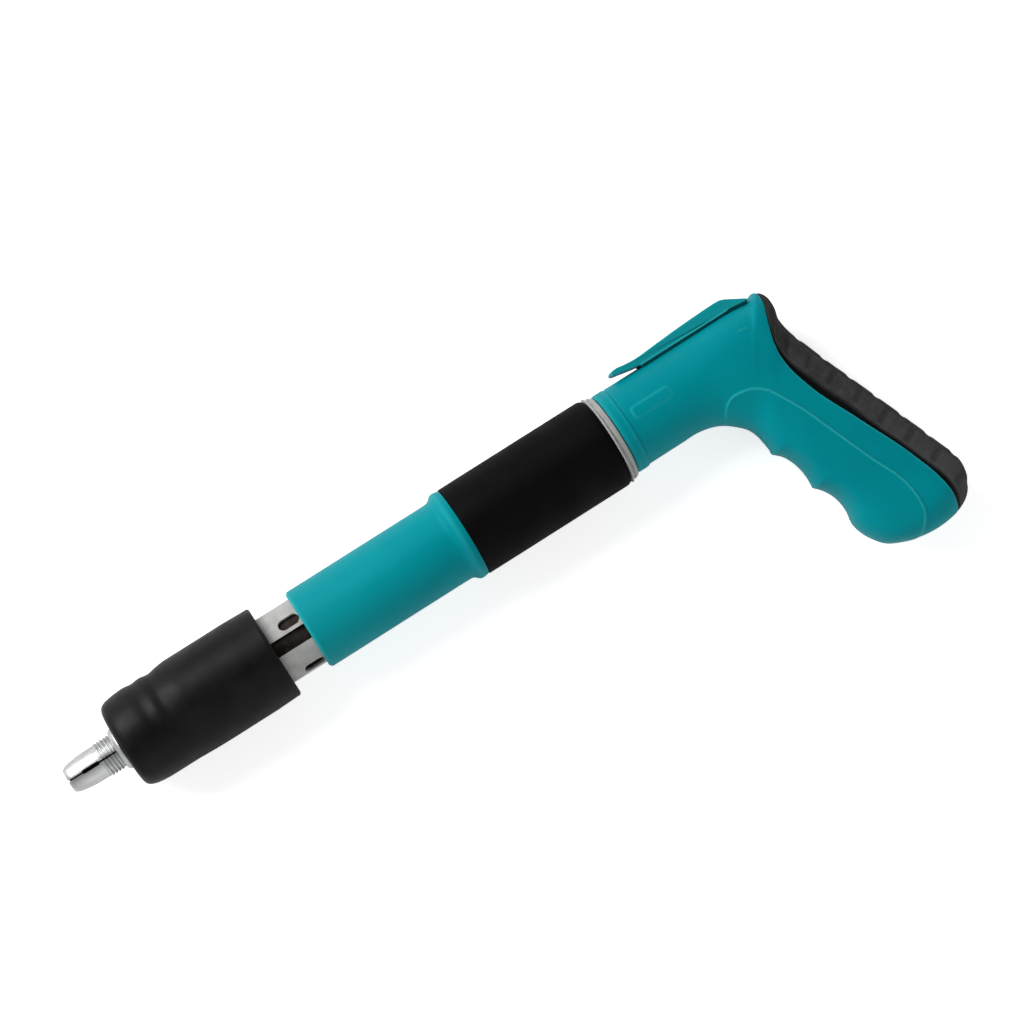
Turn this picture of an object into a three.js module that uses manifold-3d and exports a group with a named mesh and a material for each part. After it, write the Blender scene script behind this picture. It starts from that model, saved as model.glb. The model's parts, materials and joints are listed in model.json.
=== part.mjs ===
// A push-to-fire rivet gun for overhead work, lying on its right side as set down on a bench.
//
// Pressing the nose home slides it back into the body tube. The drive pin's stem pushes the
// striker against the main spring until the sear trips, and the striker then flies forward onto
// the stem. The return spring pushes the nose out again.
//
// Units are millimetres. Every piece is drawn with X along the barrel's axis towards the rear, Y
// towards the belt clip and Z towards the tool's left side. The whole tool is then moved so that
// it rests on z = 0, centred on x and y.

import * as THREE from 'three';
import { mergeVertices } from 'three/addons/utils/BufferGeometryUtils.js';
import Module from 'manifold-3d';

const wasm = await Module();
wasm.setup();

// ---------------------------------------------------------------- driving dimensions

const GAP = 0.3;            // left between pieces that touch
const SIDES = 24;           // flats round the large turned pieces
const SMALL_SIDES = 12;     // flats round pins, screws and other small turned pieces
const WIRE_SIDES = 5;       // flats round a spring's wire
const STEPS_PER_TURN = 8;   // straight steps in each turn of a spring
const MERGE_DISTANCE = 1e-4;
const BEYOND = 40;          // past the tool's skin on any side, for cutters
const FAR = 800;            // past the whole tool from any point of it

// The nose, which slides as one.
const NOZZLE = { start: 2.2, tip: 6.2, edge: 1.2, plain: 7.5, bore: 4, shoulder: 10 };
const SHANK = { start: 26.1, end: 40 };
const THREAD = { start: 18.2, root: 7.4, crest: 8, count: 5 };
const SLIT = { count: 3, narrow: 0.9, wide: 2.2, wideStart: 9.5, wideEnd: 17.5, end: 26.1 };
const LOCK_RING = { start: 26.4, end: 28.5, front: 8.6, rear: 9.9 };
const COVER = { start: 28.8, end: 104.9, outer: 21.9, wallEnd: 33, rearCorner: 1.7 };
const SLIDE = { start: 33.3, end: 190, outer: 15.7, inner: 14.5 };
const MUZZLE_PLATE_END = 39.7;
const GUIDE_SLOT = { start: 96, end: 153.3, width: 6.9 };
const VENT = { x: 116.3, length: 10, width: 5.2, firstAngle: 28, count: 4 };
const LINER = { start: 95, end: 158, outer: 14, inner: 12.4 };
const BARREL = { start: 40.3, end: 159.7, outer: 7, inner: 4.2 };
const BAFFLE = { first: 52, pitch: 16, count: 3, thickness: 3, outer: 14.2, inner: 7.3 };
const BREECH = { start: 160, end: 190, outer: 14.2, bore: 2.6, pocket: 5.8, pocketStart: 180 };

// The cover's skin from its front face over the two soft waists, as [x, radius].
const COVER_LOBES = [
  [28.8, 16.4], [29.3, 17.9], [30.3, 19.3], [32.4, 20.3], [38, 21.2], [42, 21.35], [46, 20.95],
  [50, 21.25], [54, 20.75], [58, 21.3], [62, 21.85],
];

// The drive pin, which slides forward in the breech block.
const PIN = { start: 156, tip: 1.5, shaftStart: 161, shaft: 2.1, shoulder: 5, stem: 2.4 };
const PIN_SHOULDER = { start: 193, end: 197 };
const PIN_END = 212.7;

// The striker, which slides back against the main spring.
const STRIKER = { start: 213, bodyStart: 233, bodyEnd: 258, end: 266, nose: 7, body: 15.5, boss: 6 };
const STRIKER_BORE = { radius: 2.9, end: 236 };
const SEAR = { start: 215.5, end: 219.5, width: 7 };
const SEAR_SPRING = { start: 216.7, end: 218.3, inner: 7.3, outer: 8.1, mouth: 5 };

// The fixed body.
const BODY_TUBE = { start: 125, end: 330, outer: 16.9, inner: 16 };
const FRONT_SLEEVE = { start: 121.3, end: 200, lipEnd: 124.7, outer: 18.65, chamfer: 1.1 };
const SLEEVE_FLANGE = { start: 192, foot: 195, footRadius: 19.4, ridge: 21.1, ridgeX: 197, end: 20.8 };
const GRIP_SLEEVE = { start: 200.3, end: 273.3, outer: 21.05, edge: 1.2 };
const RETAINING_RING = { start: 273.6, lipEnd: 274.6, end: 277.5, lip: 21, taper: 19.3 };
const SLEEVE_BORE = 17.2;
const GUIDE_PIN = { x: 150, radius: 3, inner: 14.4 };
const STOP_RING = { start: 228.7, end: 232.7, inner: 8.7, outer: 15.7 };
const PLUG = { bossStart: 300, start: 318, end: 330, boss: 6, outer: 15.7 };
const TUBE_PIN = { x: 324, radius: 2, reach: 16.5 };

// Springs: wire diameter, mean coil radius, turns and the space that each fills.
const RETURN_SPRING = { wire: 1.6, radius: 12, turns: 8, start: 190.4, end: 228.3 };
const MAIN_SPRING = { wire: 2.6, radius: 12, turns: 10, start: 258.4, end: 317.6 };
const PIN_SPRING = { wire: 0.9, radius: 4.2, turns: 6, start: 180.4, end: 192.6 };

// The handle, which is lofted through stations from the barrel round the bend and down the grip.
const COLLAR_STATIONS = [
  { back: [277.8, 19.7], front: [277.8, -18.8], half: 19.2, power: 2 },
  { back: [283.2, 19.7], front: [283.2, -18.8], half: 19.2, power: 2 },
  { back: [284, 19.45], front: [284, -18.1], half: 18.7, power: 2 },
];
const GRIP_RAKE = THREE.MathUtils.degToRad(67.5);
const GRIP_ORIGIN = { x: 350, y: 0 };
const WALL = 2.6;
const PAD_THICKNESS = 3;
const GRIP_SQUARENESS = 2.6;   // exponent of the grip's section; 2 would be an ellipse
const BORE_END = 330.5;

// Stations round the bend: the point on the top or back, the matching point on the underside or
// finger side, half the width there, and the section's exponent.
const BEND_STATIONS = [
  { back: [300, 19.4], front: [300, -18.05], half: 18.6, power: 2 },
  { back: [318, 19.4], front: [309.5, -18.1], half: 18.6, power: 2.05 },
  { back: [334, 19.4], front: [317.5, -20.1], half: 18.6, power: 2.15 },
  { back: [347, 19.3], front: [323.5, -23.6], half: 18.6, power: 2.3 },
  { back: [353, 18.8], front: [326, -25.6], half: 18.5, power: 2.35 },
  { back: [357.6, 18.4], front: [327.8, -27.3], half: 18.3, power: 2.4 },
  { back: [359.2, 20.1], front: [329, -28.9], half: 18.2, power: 2.4 },
  { back: [361, 20.5], front: [329.8, -30.4], half: 18, power: 2.45 },
  { back: [363.6, 19], front: [330.6, -32.4], half: 17.8, power: 2.5 },
  { back: [365.6, 16], front: [331.2, -34.6], half: 17.6, power: 2.55 },
  { back: [365.9, 12], front: [331.5, -36.4], half: 17.4, power: 2.6 },
  { back: [364.7, 4.6], front: [331.8, -38.4], half: 17.1, power: 2.6 },
  { back: [365.7, -1.5], front: [332, -40], half: 16.9, power: 2.6 },
  { back: [369, -10.5], front: [332.1, -41.5], half: 16.7, power: 2.6 },
];

// Stations down the grip: distance along the grip, then how far behind and ahead of its axis the
// back and the finger side lie, and half the width.
const GRIP_STATIONS = [
  [33.3, 13.1, -33.1, 16.5],
  [37, 13.2, -31.4, 16.5],
  [43, 13.1, -30.8, 16.5],
  [51, 13.1, -32.5, 16.5],
  [55.8, 13, -34.8, 16.5],
  [59.5, 13, -33.4, 16.5],
  [65, 13, -32.6, 16.5],
  [73.4, 12.8, -34.5, 16.5],
  [79, 12.8, -37.7, 16.5],
  [84, 12.6, -38.5, 16.5],
  [90, 12.5, -37.9, 16.5],
  [95.5, 12.4, -36.1, 16.4],
  [101.7, 11.1, -30.8, 15.6],
  [106, 8.6, -25.4, 13.4],
  [109.6, 4.9, -18.8, 10],
  [112.6, -0.6, -9.4, 4.4],
];
const HOLLOW_FIRST_STATION = 5;    // stations that the hollow leaves out at the front,
const SOLID_END_STATIONS = 2;      // and at the grip's end

// The line where the rubber backstrap meets the shells, from the top down to the grip's end.
const PAD_EDGE = [
  [362.4, 24], [362.3, 19.6], [361.5, 15], [359.4, 10], [357, 4], [355.1, -3], [354.6, -9],
  [355.2, -15], [358.2, -25.8], [368.7, -49], [380.2, -74], [385.3, -89], [386.8, -98],
  [385.2, -112],
];

const HANDLE_SCREW = { head: 3, headHeight: 2, seat: -11.5, shank: 1.5, tip: 9, boss: 4 };
const HANDLE_SCREW_PLACES = [[346, 6], [351, -30], [363, -60], [374.5, -91]];

// The belt clip's outline from its tip over the bend to its foot and back along the underside.
const CLIP_OUTLINE = [
  [289.6, 22.9], [290.4, 24.1], [292.2, 24.4], [296, 24], [301, 23.4], [306, 23.6], [320, 24.7],
  [336, 25.5], [345.6, 25.6], [348.2, 25], [357.2, 19.9], [357.2, 18.9], [353, 19.2], [347, 19.75],
  [320, 19.75], [306, 19.75], [300, 20.2], [294.5, 21.3], [290.6, 22],
];
const CLIP_HALF_WIDTH = 7;
const CLIP_SCREW = {
  x: 349.4, head: 2.6, shank: 1.4, headTop: 22.8, headBottom: 21.4, tip: 8, clearance: 0.6,
  underHead: 1.15,     // room for the strap to rise below the head when the clip is lifted
};

// ---------------------------------------------------------------- materials

function finish(color, roughness, metalness = 0) {
  return new THREE.MeshStandardMaterial({ color, roughness, metalness });
}

const cyanPlastic = finish(0x0a8f9c, 0.42);
const blackRubber = finish(0x29292b, 0.62);
const deepBlackRubber = finish(0x121214, 0.7);
const padRubber = finish(0x3a3a3b, 0.8);
const chrome = finish(0xd6dada, 0.2, 1);
const satinChrome = finish(0xb4b5b2, 0.42, 1);
const darkSteel = finish(0x3a3430, 0.4, 1);
const plainSteel = finish(0x8d9093, 0.3, 1);
const springSteel = finish(0x6b6e72, 0.35, 1);

// ---------------------------------------------------------------- making solids

/** Gives the volume inside a list of triangles, negative where their faces point inwards. */
function signedVolume(positions, triangles) {
  const corner = (index) => new THREE.Vector3().fromArray(positions, index * 3);
  let volume = 0;
  for (let i = 0; i < triangles.length; i += 3) {
    const [a, b, c] = [0, 1, 2].map((k) => corner(triangles[i + k]));
    volume += a.dot(b.cross(c)) / 6;
  }
  return volume;
}

/** Turns a closed geometry into a solid that can be joined and cut. */
function solid(geometry) {
  const bare = new THREE.BufferGeometry();
  bare.setAttribute('position', geometry.getAttribute('position'));
  if (geometry.index) bare.setIndex(geometry.index);
  const merged = mergeVertices(bare, MERGE_DISTANCE);
  const corners = merged.index.array;
  const positions = merged.getAttribute('position').array;
  const triangles = [];
  for (let i = 0; i < corners.length; i += 3) {
    const [a, b, c] = corners.slice(i, i + 3);
    if (a !== b && b !== c && c !== a) triangles.push(a, b, c);
  }
  if (signedVolume(positions, triangles) < 0) triangles.reverse();
  return new wasm.Manifold(new wasm.Mesh({
    numProp: 3,
    vertProperties: new Float32Array(positions),
    triVerts: new Uint32Array(triangles),
  }));
}

/** Revolves a closed outline of [x, radius] points about the X axis. The flats lie at the radii. */
function turned(outline, sides = SIDES) {
  const cornerScale = 1 / Math.cos(Math.PI / sides);
  const points = outline.map(([x, radius]) => new THREE.Vector2(radius * cornerScale, x));
  points.push(points[0].clone());
  const geometry = new THREE.LatheGeometry(points, sides, Math.PI / sides);
  geometry.rotateZ(-Math.PI / 2);
  return solid(geometry);
}

/** Makes a plain ring or tube on the X axis. */
function tube(start, end, outer, inner, sides = SIDES) {
  return turned([[start, inner], [start, outer], [end, outer], [end, inner]], sides);
}

/** Makes a round bar between two points. */
function bar(from, to, radius, sides = SMALL_SIDES) {
  const start = new THREE.Vector3(...from);
  const direction = new THREE.Vector3(...to).sub(start);
  const geometry = new THREE.CylinderGeometry(radius, radius, direction.length(), sides);
  geometry.translate(0, direction.length() / 2, 0);
  const turn = new THREE.Quaternion();
  turn.setFromUnitVectors(new THREE.Vector3(0, 1, 0), direction.normalize());
  geometry.applyQuaternion(turn);
  geometry.translate(start.x, start.y, start.z);
  return solid(geometry);
}

/** Makes a box between two corners. */
function block(low, high) {
  const size = high.map((value, axis) => value - low[axis]);
  const geometry = new THREE.BoxGeometry(...size);
  geometry.translate(...low.map((value, axis) => value + size[axis] / 2));
  return solid(geometry);
}

/** Extrudes an outline in the XY plane from one z to another. */
function prism(outline, lowZ, highZ) {
  const shape = new THREE.Shape(outline.map(([x, y]) => new THREE.Vector2(x, y)));
  const geometry = new THREE.ExtrudeGeometry(shape, { depth: highZ - lowZ, bevelEnabled: false });
  geometry.translate(0, 0, lowZ);
  return solid(geometry);
}

/** Joins rings of equal length into one closed skin, with a fan over each end. */
function skin(rings) {
  const count = rings[0].length;
  const points = rings.flat();
  const indices = [];
  for (let ring = 0; ring + 1 < rings.length; ring += 1) {
    for (let i = 0; i < count; i += 1) {
      const a = ring * count + i;
      const b = ring * count + ((i + 1) % count);
      indices.push(a, b, a + count, b, b + count, a + count);
    }
  }
  for (const first of [0, (rings.length - 1) * count]) {
    const centre = points.length;
    const middle = new THREE.Vector3();
    points.slice(first, first + count).forEach((point) => middle.add(point));
    points.push(middle.divideScalar(count));
    for (let i = 0; i < count; i += 1) {
      const pair = [first + i, first + ((i + 1) % count)];
      indices.push(...(first === 0 ? pair.reverse() : pair), centre);
    }
  }
  const geometry = new THREE.BufferGeometry().setFromPoints(points);
  geometry.setIndex(indices);
  return solid(geometry);
}

/** A coil about the X axis whose end turns lie almost flat against their seats. */
class Coil extends THREE.Curve {
  constructor({ wire, radius, turns, start, end }) {
    super();
    Object.assign(this, { radius, turns });
    this.first = start + wire / 2;
    this.length = end - start - wire;
    this.endPitch = wire + GAP;
  }

  getPoint(t, target = new THREE.Vector3()) {
    const turn = t * this.turns;
    const openPitch = (this.length - 2 * this.endPitch) / (this.turns - 2);
    const closed = Math.min(turn, 1) + Math.max(turn - this.turns + 1, 0);
    const open = Math.min(Math.max(turn - 1, 0), this.turns - 2);
    const angle = turn * 2 * Math.PI;
    return target.set(
      this.first + closed * this.endPitch + open * openPitch,
      this.radius * Math.cos(angle),
      this.radius * Math.sin(angle),
    );
  }
}

/** Makes a coil spring on the X axis. */
function spring(sizes) {
  const section = new THREE.Shape();
  for (let i = 0; i < WIRE_SIDES; i += 1) {
    const angle = (i / WIRE_SIDES) * 2 * Math.PI;
    const point = [Math.cos(angle) * sizes.wire / 2, Math.sin(angle) * sizes.wire / 2];
    if (i === 0) section.moveTo(...point);
    else section.lineTo(...point);
  }
  return solid(new THREE.ExtrudeGeometry(section, {
    extrudePath: new Coil(sizes),
    steps: sizes.turns * STEPS_PER_TURN,
    bevelEnabled: false,
  }));
}

// ---------------------------------------------------------------- nose

function makeColletNozzle() {
  const { start, tip, edge, plain, bore, shoulder } = NOZZLE;
  const outline = [[start, bore], [start, tip - edge], [start + edge, tip], [shoulder, plain]];
  outline.push([THREAD.start, plain]);
  const pitch = (SHANK.start - THREAD.start) / THREAD.count;
  for (let turn = 0; turn < THREAD.count; turn += 1) {
    const x = THREAD.start + turn * pitch;
    outline.push([x + 0.2 * pitch, THREAD.root], [x + 0.5 * pitch, THREAD.crest]);
    outline.push([x + 0.8 * pitch, THREAD.crest]);
  }
  outline.push([SHANK.start, plain], [SHANK.end, plain], [SHANK.end, bore]);
  let nozzle = turned(outline, SMALL_SIDES);
  for (let i = 0; i < SLIT.count; i += 1) {
    const angle = (i * 360) / SLIT.count;
    for (const [width, from, to] of [
      [SLIT.narrow, 0, SLIT.end],
      [SLIT.wide, SLIT.wideStart, SLIT.wideEnd],
    ]) {
      const slit = block([from, -width / 2, 0], [to, width / 2, BEYOND]);
      nozzle = nozzle.subtract(slit.rotate([angle, 0, 0]));
    }
  }
  return nozzle;
}

function makeLockRing() {
  const { start, end, front, rear } = LOCK_RING;
  const inner = NOZZLE.plain + GAP;
  return turned([[start, inner], [start, front], [end, rear], [end, inner]], SMALL_SIDES);
}

function makeFrontCover() {
  const inner = SLIDE.outer + GAP;
  const hole = NOZZLE.plain + 2 * GAP;
  return turned([
    [COVER.start, hole],
    ...COVER_LOBES,
    [COVER.end - COVER.rearCorner, COVER.outer],
    [COVER.end, COVER.outer - COVER.rearCorner],
    [COVER.end, inner],
    [COVER.wallEnd, inner],
    [COVER.wallEnd, hole],
  ]);
}

function makeMuzzlePlate() {
  return tube(SLIDE.start, MUZZLE_PLATE_END, BAFFLE.outer, NOZZLE.plain + GAP);
}

/** A round-ended opening through the +Z side of a tube, ready to be turned about the X axis. */
function ventCutter() {
  const half = (VENT.length - VENT.width) / 2;
  const radius = VENT.width / 2;
  const low = SLIDE.inner - radius;
  const high = SLIDE.outer + radius;
  let cutter = block([VENT.x - half, -radius, low], [VENT.x + half, radius, high]);
  for (const x of [VENT.x - half, VENT.x + half]) {
    cutter = cutter.add(bar([x, 0, low], [x, 0, high], radius));
  }
  return cutter;
}

function makeSlideTube() {
  let slide = tube(SLIDE.start, SLIDE.end, SLIDE.outer, SLIDE.inner);
  const half = GUIDE_SLOT.width / 2;
  slide = slide.subtract(block([GUIDE_SLOT.start, -half, -BEYOND], [GUIDE_SLOT.end, half, BEYOND]));
  for (let i = 0; i < VENT.count; i += 1) {
    const angle = VENT.firstAngle + (i * 360) / VENT.count;
    slide = slide.subtract(ventCutter().rotate([-angle, 0, 0]));
  }
  return slide;
}

function makeLinerTube() {
  return tube(LINER.start, LINER.end, LINER.outer, LINER.inner);
}

function makeBarrel() {
  return tube(BARREL.start, BARREL.end, BARREL.outer, BARREL.inner, SMALL_SIDES);
}

function makeBaffleRing(index) {
  const start = BAFFLE.first + index * BAFFLE.pitch;
  return tube(start, start + BAFFLE.thickness, BAFFLE.outer, BAFFLE.inner + GAP);
}

function makeBreechBlock() {
  return turned([
    [BREECH.start, BREECH.bore],
    [BREECH.start, BREECH.outer],
    [BREECH.end, BREECH.outer],
    [BREECH.end, BREECH.pocket],
    [BREECH.pocketStart, BREECH.pocket],
    [BREECH.pocketStart, BREECH.bore],
  ]);
}

// ---------------------------------------------------------------- drive pin and striker

function makeDrivePin() {
  return turned([
    [PIN.start, 0],
    [PIN.start, PIN.tip],
    [PIN.shaftStart, PIN.shaft],
    [PIN_SHOULDER.start, PIN.shaft],
    [PIN_SHOULDER.start, PIN.shoulder],
    [PIN_SHOULDER.end, PIN.shoulder],
    [PIN_SHOULDER.end, PIN.stem],
    [PIN_END, PIN.stem],
    [PIN_END, 0],
  ], SMALL_SIDES);
}

function makeStriker() {
  const striker = turned([
    [STRIKER.start, STRIKER_BORE.radius],
    [STRIKER.start, STRIKER.nose],
    [STRIKER.bodyStart, STRIKER.nose],
    [STRIKER.bodyStart, STRIKER.body],
    [STRIKER.bodyEnd, STRIKER.body],
    [STRIKER.bodyEnd, STRIKER.boss],
    [STRIKER.end, STRIKER.boss],
    [STRIKER.end, 0],
    [STRIKER_BORE.end, 0],
    [STRIKER_BORE.end, STRIKER_BORE.radius],
  ]);
  const half = SEAR.width / 2 + GAP;
  const low = [SEAR.start - GAP, -2 * STRIKER.nose, -half];
  return striker.subtract(block(low, [SEAR.end + GAP, 2 * STRIKER.nose, half]));
}

/** The plate lies across the striker's nose, flush with it at both ends. */
function makeSearPlate() {
  const half = SEAR.width / 2;
  const plate = block([SEAR.start, -BEYOND, -half], [SEAR.end, BEYOND, half]);
  const nose = bar([SEAR.start - 1, 0, 0], [SEAR.end + 1, 0, 0], STRIKER.nose);
  const hole = bar([SEAR.start - 1, 0, 0], [SEAR.end + 1, 0, 0], STRIKER_BORE.radius);
  return plate.intersect(nose).subtract(hole);
}

/** An open ring round the striker's nose that presses on one end of the sear plate. */
function makeSearSpring() {
  const { start, end, inner, outer, mouth } = SEAR_SPRING;
  const ring = tube(start, end, outer, inner, SMALL_SIDES);
  return ring.subtract(block([start - 1, -BEYOND, -mouth / 2], [end + 1, 0, mouth / 2]));
}

// ---------------------------------------------------------------- body tube and its sleeves

function makeBodyTube() {
  let body = tube(BODY_TUBE.start, BODY_TUBE.end, BODY_TUBE.outer, BODY_TUBE.inner);
  for (const { x, radius } of [GUIDE_PIN, TUBE_PIN]) {
    body = body.subtract(bar([x, 0, -BEYOND], [x, 0, BEYOND], radius + GAP));
  }
  return body;
}

function makeFrontSleeve() {
  const { start, end, lipEnd, outer, chamfer } = FRONT_SLEEVE;
  const flange = SLEEVE_FLANGE;
  return turned([
    [start, BODY_TUBE.inner],
    [start, outer - chamfer],
    [start + chamfer, outer],
    [flange.start, outer],
    [flange.foot, flange.footRadius],
    [flange.ridgeX - 1, flange.ridge],
    [flange.ridgeX + 1, flange.ridge],
    [end, flange.end],
    [end, SLEEVE_BORE],
    [lipEnd, SLEEVE_BORE],
    [lipEnd, BODY_TUBE.inner],
  ]);
}

function makeGripSleeve() {
  const { start, end, outer, edge } = GRIP_SLEEVE;
  return turned([
    [start, SLEEVE_BORE],
    [start, outer],
    [end - edge, outer],
    [end, outer - edge],
    [end, SLEEVE_BORE],
  ]);
}

function makeRetainingRing() {
  return turned([
    [RETAINING_RING.start, SLEEVE_BORE],
    [RETAINING_RING.start, RETAINING_RING.lip],
    [RETAINING_RING.lipEnd, RETAINING_RING.lip],
    [RETAINING_RING.end, RETAINING_RING.taper],
    [RETAINING_RING.end, SLEEVE_BORE],
  ]);
}

function makeGuidePin(side) {
  const inner = [GUIDE_PIN.x, 0, side * GUIDE_PIN.inner];
  return bar(inner, [GUIDE_PIN.x, 0, side * BODY_TUBE.outer], GUIDE_PIN.radius);
}

function makeStopRing() {
  return tube(STOP_RING.start, STOP_RING.end, STOP_RING.outer, STOP_RING.inner);
}

function makeRearPlug() {
  const plug = turned([
    [PLUG.bossStart, 0],
    [PLUG.bossStart, PLUG.boss],
    [PLUG.start, PLUG.boss],
    [PLUG.start, PLUG.outer],
    [PLUG.end, PLUG.outer],
    [PLUG.end, 0],
  ]);
  const hole = bar([TUBE_PIN.x, 0, -BEYOND], [TUBE_PIN.x, 0, BEYOND], TUBE_PIN.radius + GAP);
  return plug.subtract(hole);
}

function makeTubePin() {
  return bar([TUBE_PIN.x, 0, -TUBE_PIN.reach], [TUBE_PIN.x, 0, TUBE_PIN.reach], TUBE_PIN.radius);
}

// ---------------------------------------------------------------- handle

/** Turns a place along and across the grip into x and y. */
function gripPoint(along, across) {
  const cos = Math.cos(GRIP_RAKE);
  const sin = Math.sin(GRIP_RAKE);
  return [GRIP_ORIGIN.x + along * cos + across * sin, GRIP_ORIGIN.y - along * sin + across * cos];
}

/** All the handle's stations, from the collar at the front to the grip's end. */
function handleStations() {
  const grip = GRIP_STATIONS.map(([along, behind, ahead, half]) => ({
    back: gripPoint(along, behind),
    front: gripPoint(along, ahead),
    half,
    power: GRIP_SQUARENESS,
  }));
  return [...COLLAR_STATIONS, ...BEND_STATIONS, ...grip];
}

/** The rounded section at a station, drawn in by an inset all round. */
function sectionRing({ back, front, half, power }, inset, sides) {
  const rear = new THREE.Vector3(back[0], back[1], 0);
  const fore = new THREE.Vector3(front[0], front[1], 0);
  const middle = rear.clone().add(fore).divideScalar(2);
  const across = rear.clone().sub(fore).divideScalar(2);
  const cornerScale = 1 / Math.cos(Math.PI / sides);
  const length = (across.length() - inset) * cornerScale;
  const width = (half - inset) * cornerScale;
  across.normalize();
  const bend = (value) => Math.sign(value) * Math.abs(value) ** (2 / power);
  return Array.from({ length: sides }, (_, i) => {
    const angle = ((i + 0.5) / sides) * 2 * Math.PI;
    const point = middle.clone().addScaledVector(across, length * bend(Math.cos(angle)));
    point.z = width * bend(Math.sin(angle));
    return point;
  });
}

/** The handle's form, drawn in from its skin by an inset. */
function handleForm(inset) {
  return skin(handleStations().map((station) => sectionRing(station, inset, SIDES)));
}

/** A plainer form for the hollow inside, which starts behind the collar and stops short of the end. */
function hollowForm(inset) {
  const stations = handleStations().slice(HOLLOW_FIRST_STATION, -SOLID_END_STATIONS);
  return skin(stations.map((station) => sectionRing(station, inset, SMALL_SIDES)));
}

/** Everything behind the backstrap's edge, moved back by a shift along x. */
function behindPadEdge(shift) {
  const edge = PAD_EDGE.map(([x, y]) => [x + shift, y]);
  const [lastX] = edge[edge.length - 1];
  return prism([...edge, [lastX, -FAR], [FAR, -FAR], [FAR, edge[0][1]]], -BEYOND, BEYOND);
}

function makeBackstrap() {
  return handleForm(0).intersect(behindPadEdge(GAP)).subtract(handleForm(PAD_THICKNESS));
}

function handleHollow() {
  const ahead = hollowForm(WALL).subtract(behindPadEdge(-WALL));
  const behind = hollowForm(PAD_THICKNESS + GAP + WALL);
  const bore = turned([
    [RETAINING_RING.start, 0],
    [RETAINING_RING.start, SLEEVE_BORE],
    [BORE_END, SLEEVE_BORE],
    [BORE_END, 0],
  ]);
  return ahead.add(behind).add(bore);
}

function makeHandleHalf(side) {
  const underPad = handleForm(PAD_THICKNESS + GAP).intersect(behindPadEdge(-1));
  let shell = handleForm(0).subtract(behindPadEdge(0)).add(underPad).subtract(handleHollow());
  const { head, seat, shank, tip, boss } = HANDLE_SCREW;
  for (const [x, y] of HANDLE_SCREW_PLACES) {
    shell = shell.add(bar([x, y, -BEYOND], [x, y, BEYOND], boss).intersect(handleForm(WALL / 2)));
    shell = shell.subtract(bar([x, y, -BEYOND], [x, y, tip + 1], shank + GAP));
    shell = shell.subtract(bar([x, y, -BEYOND], [x, y, seat + GAP], head + GAP));
  }
  shell = shell.subtract(clipScrewHole());
  const keep = side > 0
    ? block([0, -FAR, GAP / 2], [FAR, FAR, FAR])
    : block([0, -FAR, -FAR], [FAR, FAR, -GAP / 2]);
  return shell.intersect(keep);
}

function makeHandleScrew([x, y]) {
  const { head, headHeight, seat, shank, tip } = HANDLE_SCREW;
  return bar([x, y, seat - headHeight], [x, y, seat], head)
    .add(bar([x, y, seat - headHeight / 2], [x, y, tip], shank));
}

// ---------------------------------------------------------------- belt clip

function makeBeltClip() {
  const { x, head, headBottom, shank, clearance, underHead } = CLIP_SCREW;
  const headHole = bar([x, headBottom - underHead, 0], [x, BEYOND, 0], head + clearance);
  return prism(CLIP_OUTLINE, -CLIP_HALF_WIDTH, CLIP_HALF_WIDTH)
    .subtract(bar([x, 0, 0], [x, BEYOND, 0], shank + clearance))
    .subtract(headHole);
}

function clipScrewHole() {
  const { x, shank, tip } = CLIP_SCREW;
  return bar([x, tip - 1, 0], [x, BEYOND, 0], shank + GAP);
}

function makeClipScrew() {
  const { x, head, shank, headTop, headBottom, tip } = CLIP_SCREW;
  return bar([x, headBottom, 0], [x, headTop, 0], head).add(bar([x, tip, 0], [x, headTop, 0], shank));
}

// ---------------------------------------------------------------- assembly

const tool = new THREE.Group();

/** Adds a solid to the tool as a named mesh. */
function addPiece(name, form, material) {
  const { vertProperties, triVerts } = form.getMesh();
  const geometry = new THREE.BufferGeometry();
  geometry.setAttribute('position', new THREE.BufferAttribute(vertProperties, 3));
  geometry.setIndex(new THREE.BufferAttribute(triVerts, 1));
  const piece = new THREE.Mesh(geometry, material);
  piece.name = name;
  tool.add(piece);
}

addPiece('collet_nozzle', makeColletNozzle(), chrome);
addPiece('lock_ring', makeLockRing(), chrome);
addPiece('front_cover', makeFrontCover(), blackRubber);
addPiece('muzzle_plate', makeMuzzlePlate(), plainSteel);
addPiece('slide_tube', makeSlideTube(), satinChrome);
addPiece('liner_tube', makeLinerTube(), darkSteel);
addPiece('barrel', makeBarrel(), plainSteel);
for (let i = 0; i < BAFFLE.count; i += 1) {
  addPiece(`baffle_ring_${i + 1}`, makeBaffleRing(i), darkSteel);
}
addPiece('breech_block', makeBreechBlock(), plainSteel);
addPiece('drive_pin', makeDrivePin(), plainSteel);
addPiece('pin_spring', spring(PIN_SPRING), springSteel);
addPiece('striker', makeStriker(), plainSteel);
addPiece('sear_plate', makeSearPlate(), darkSteel);
addPiece('sear_spring', makeSearSpring(), springSteel);
addPiece('return_spring', spring(RETURN_SPRING), springSteel);
addPiece('main_spring', spring(MAIN_SPRING), springSteel);
addPiece('body_tube', makeBodyTube(), plainSteel);
addPiece('front_sleeve', makeFrontSleeve(), cyanPlastic);
addPiece('grip_sleeve', makeGripSleeve(), deepBlackRubber);
addPiece('retaining_ring', makeRetainingRing(), satinChrome);
addPiece('guide_pin_left', makeGuidePin(1), darkSteel);
addPiece('guide_pin_right', makeGuidePin(-1), darkSteel);
addPiece('stop_ring', makeStopRing(), plainSteel);
addPiece('rear_plug', makeRearPlug(), plainSteel);
addPiece('tube_pin', makeTubePin(), plainSteel);
addPiece('handle_left', makeHandleHalf(1), cyanPlastic);
addPiece('handle_right', makeHandleHalf(-1), cyanPlastic);
addPiece('backstrap', makeBackstrap(), padRubber);
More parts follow.
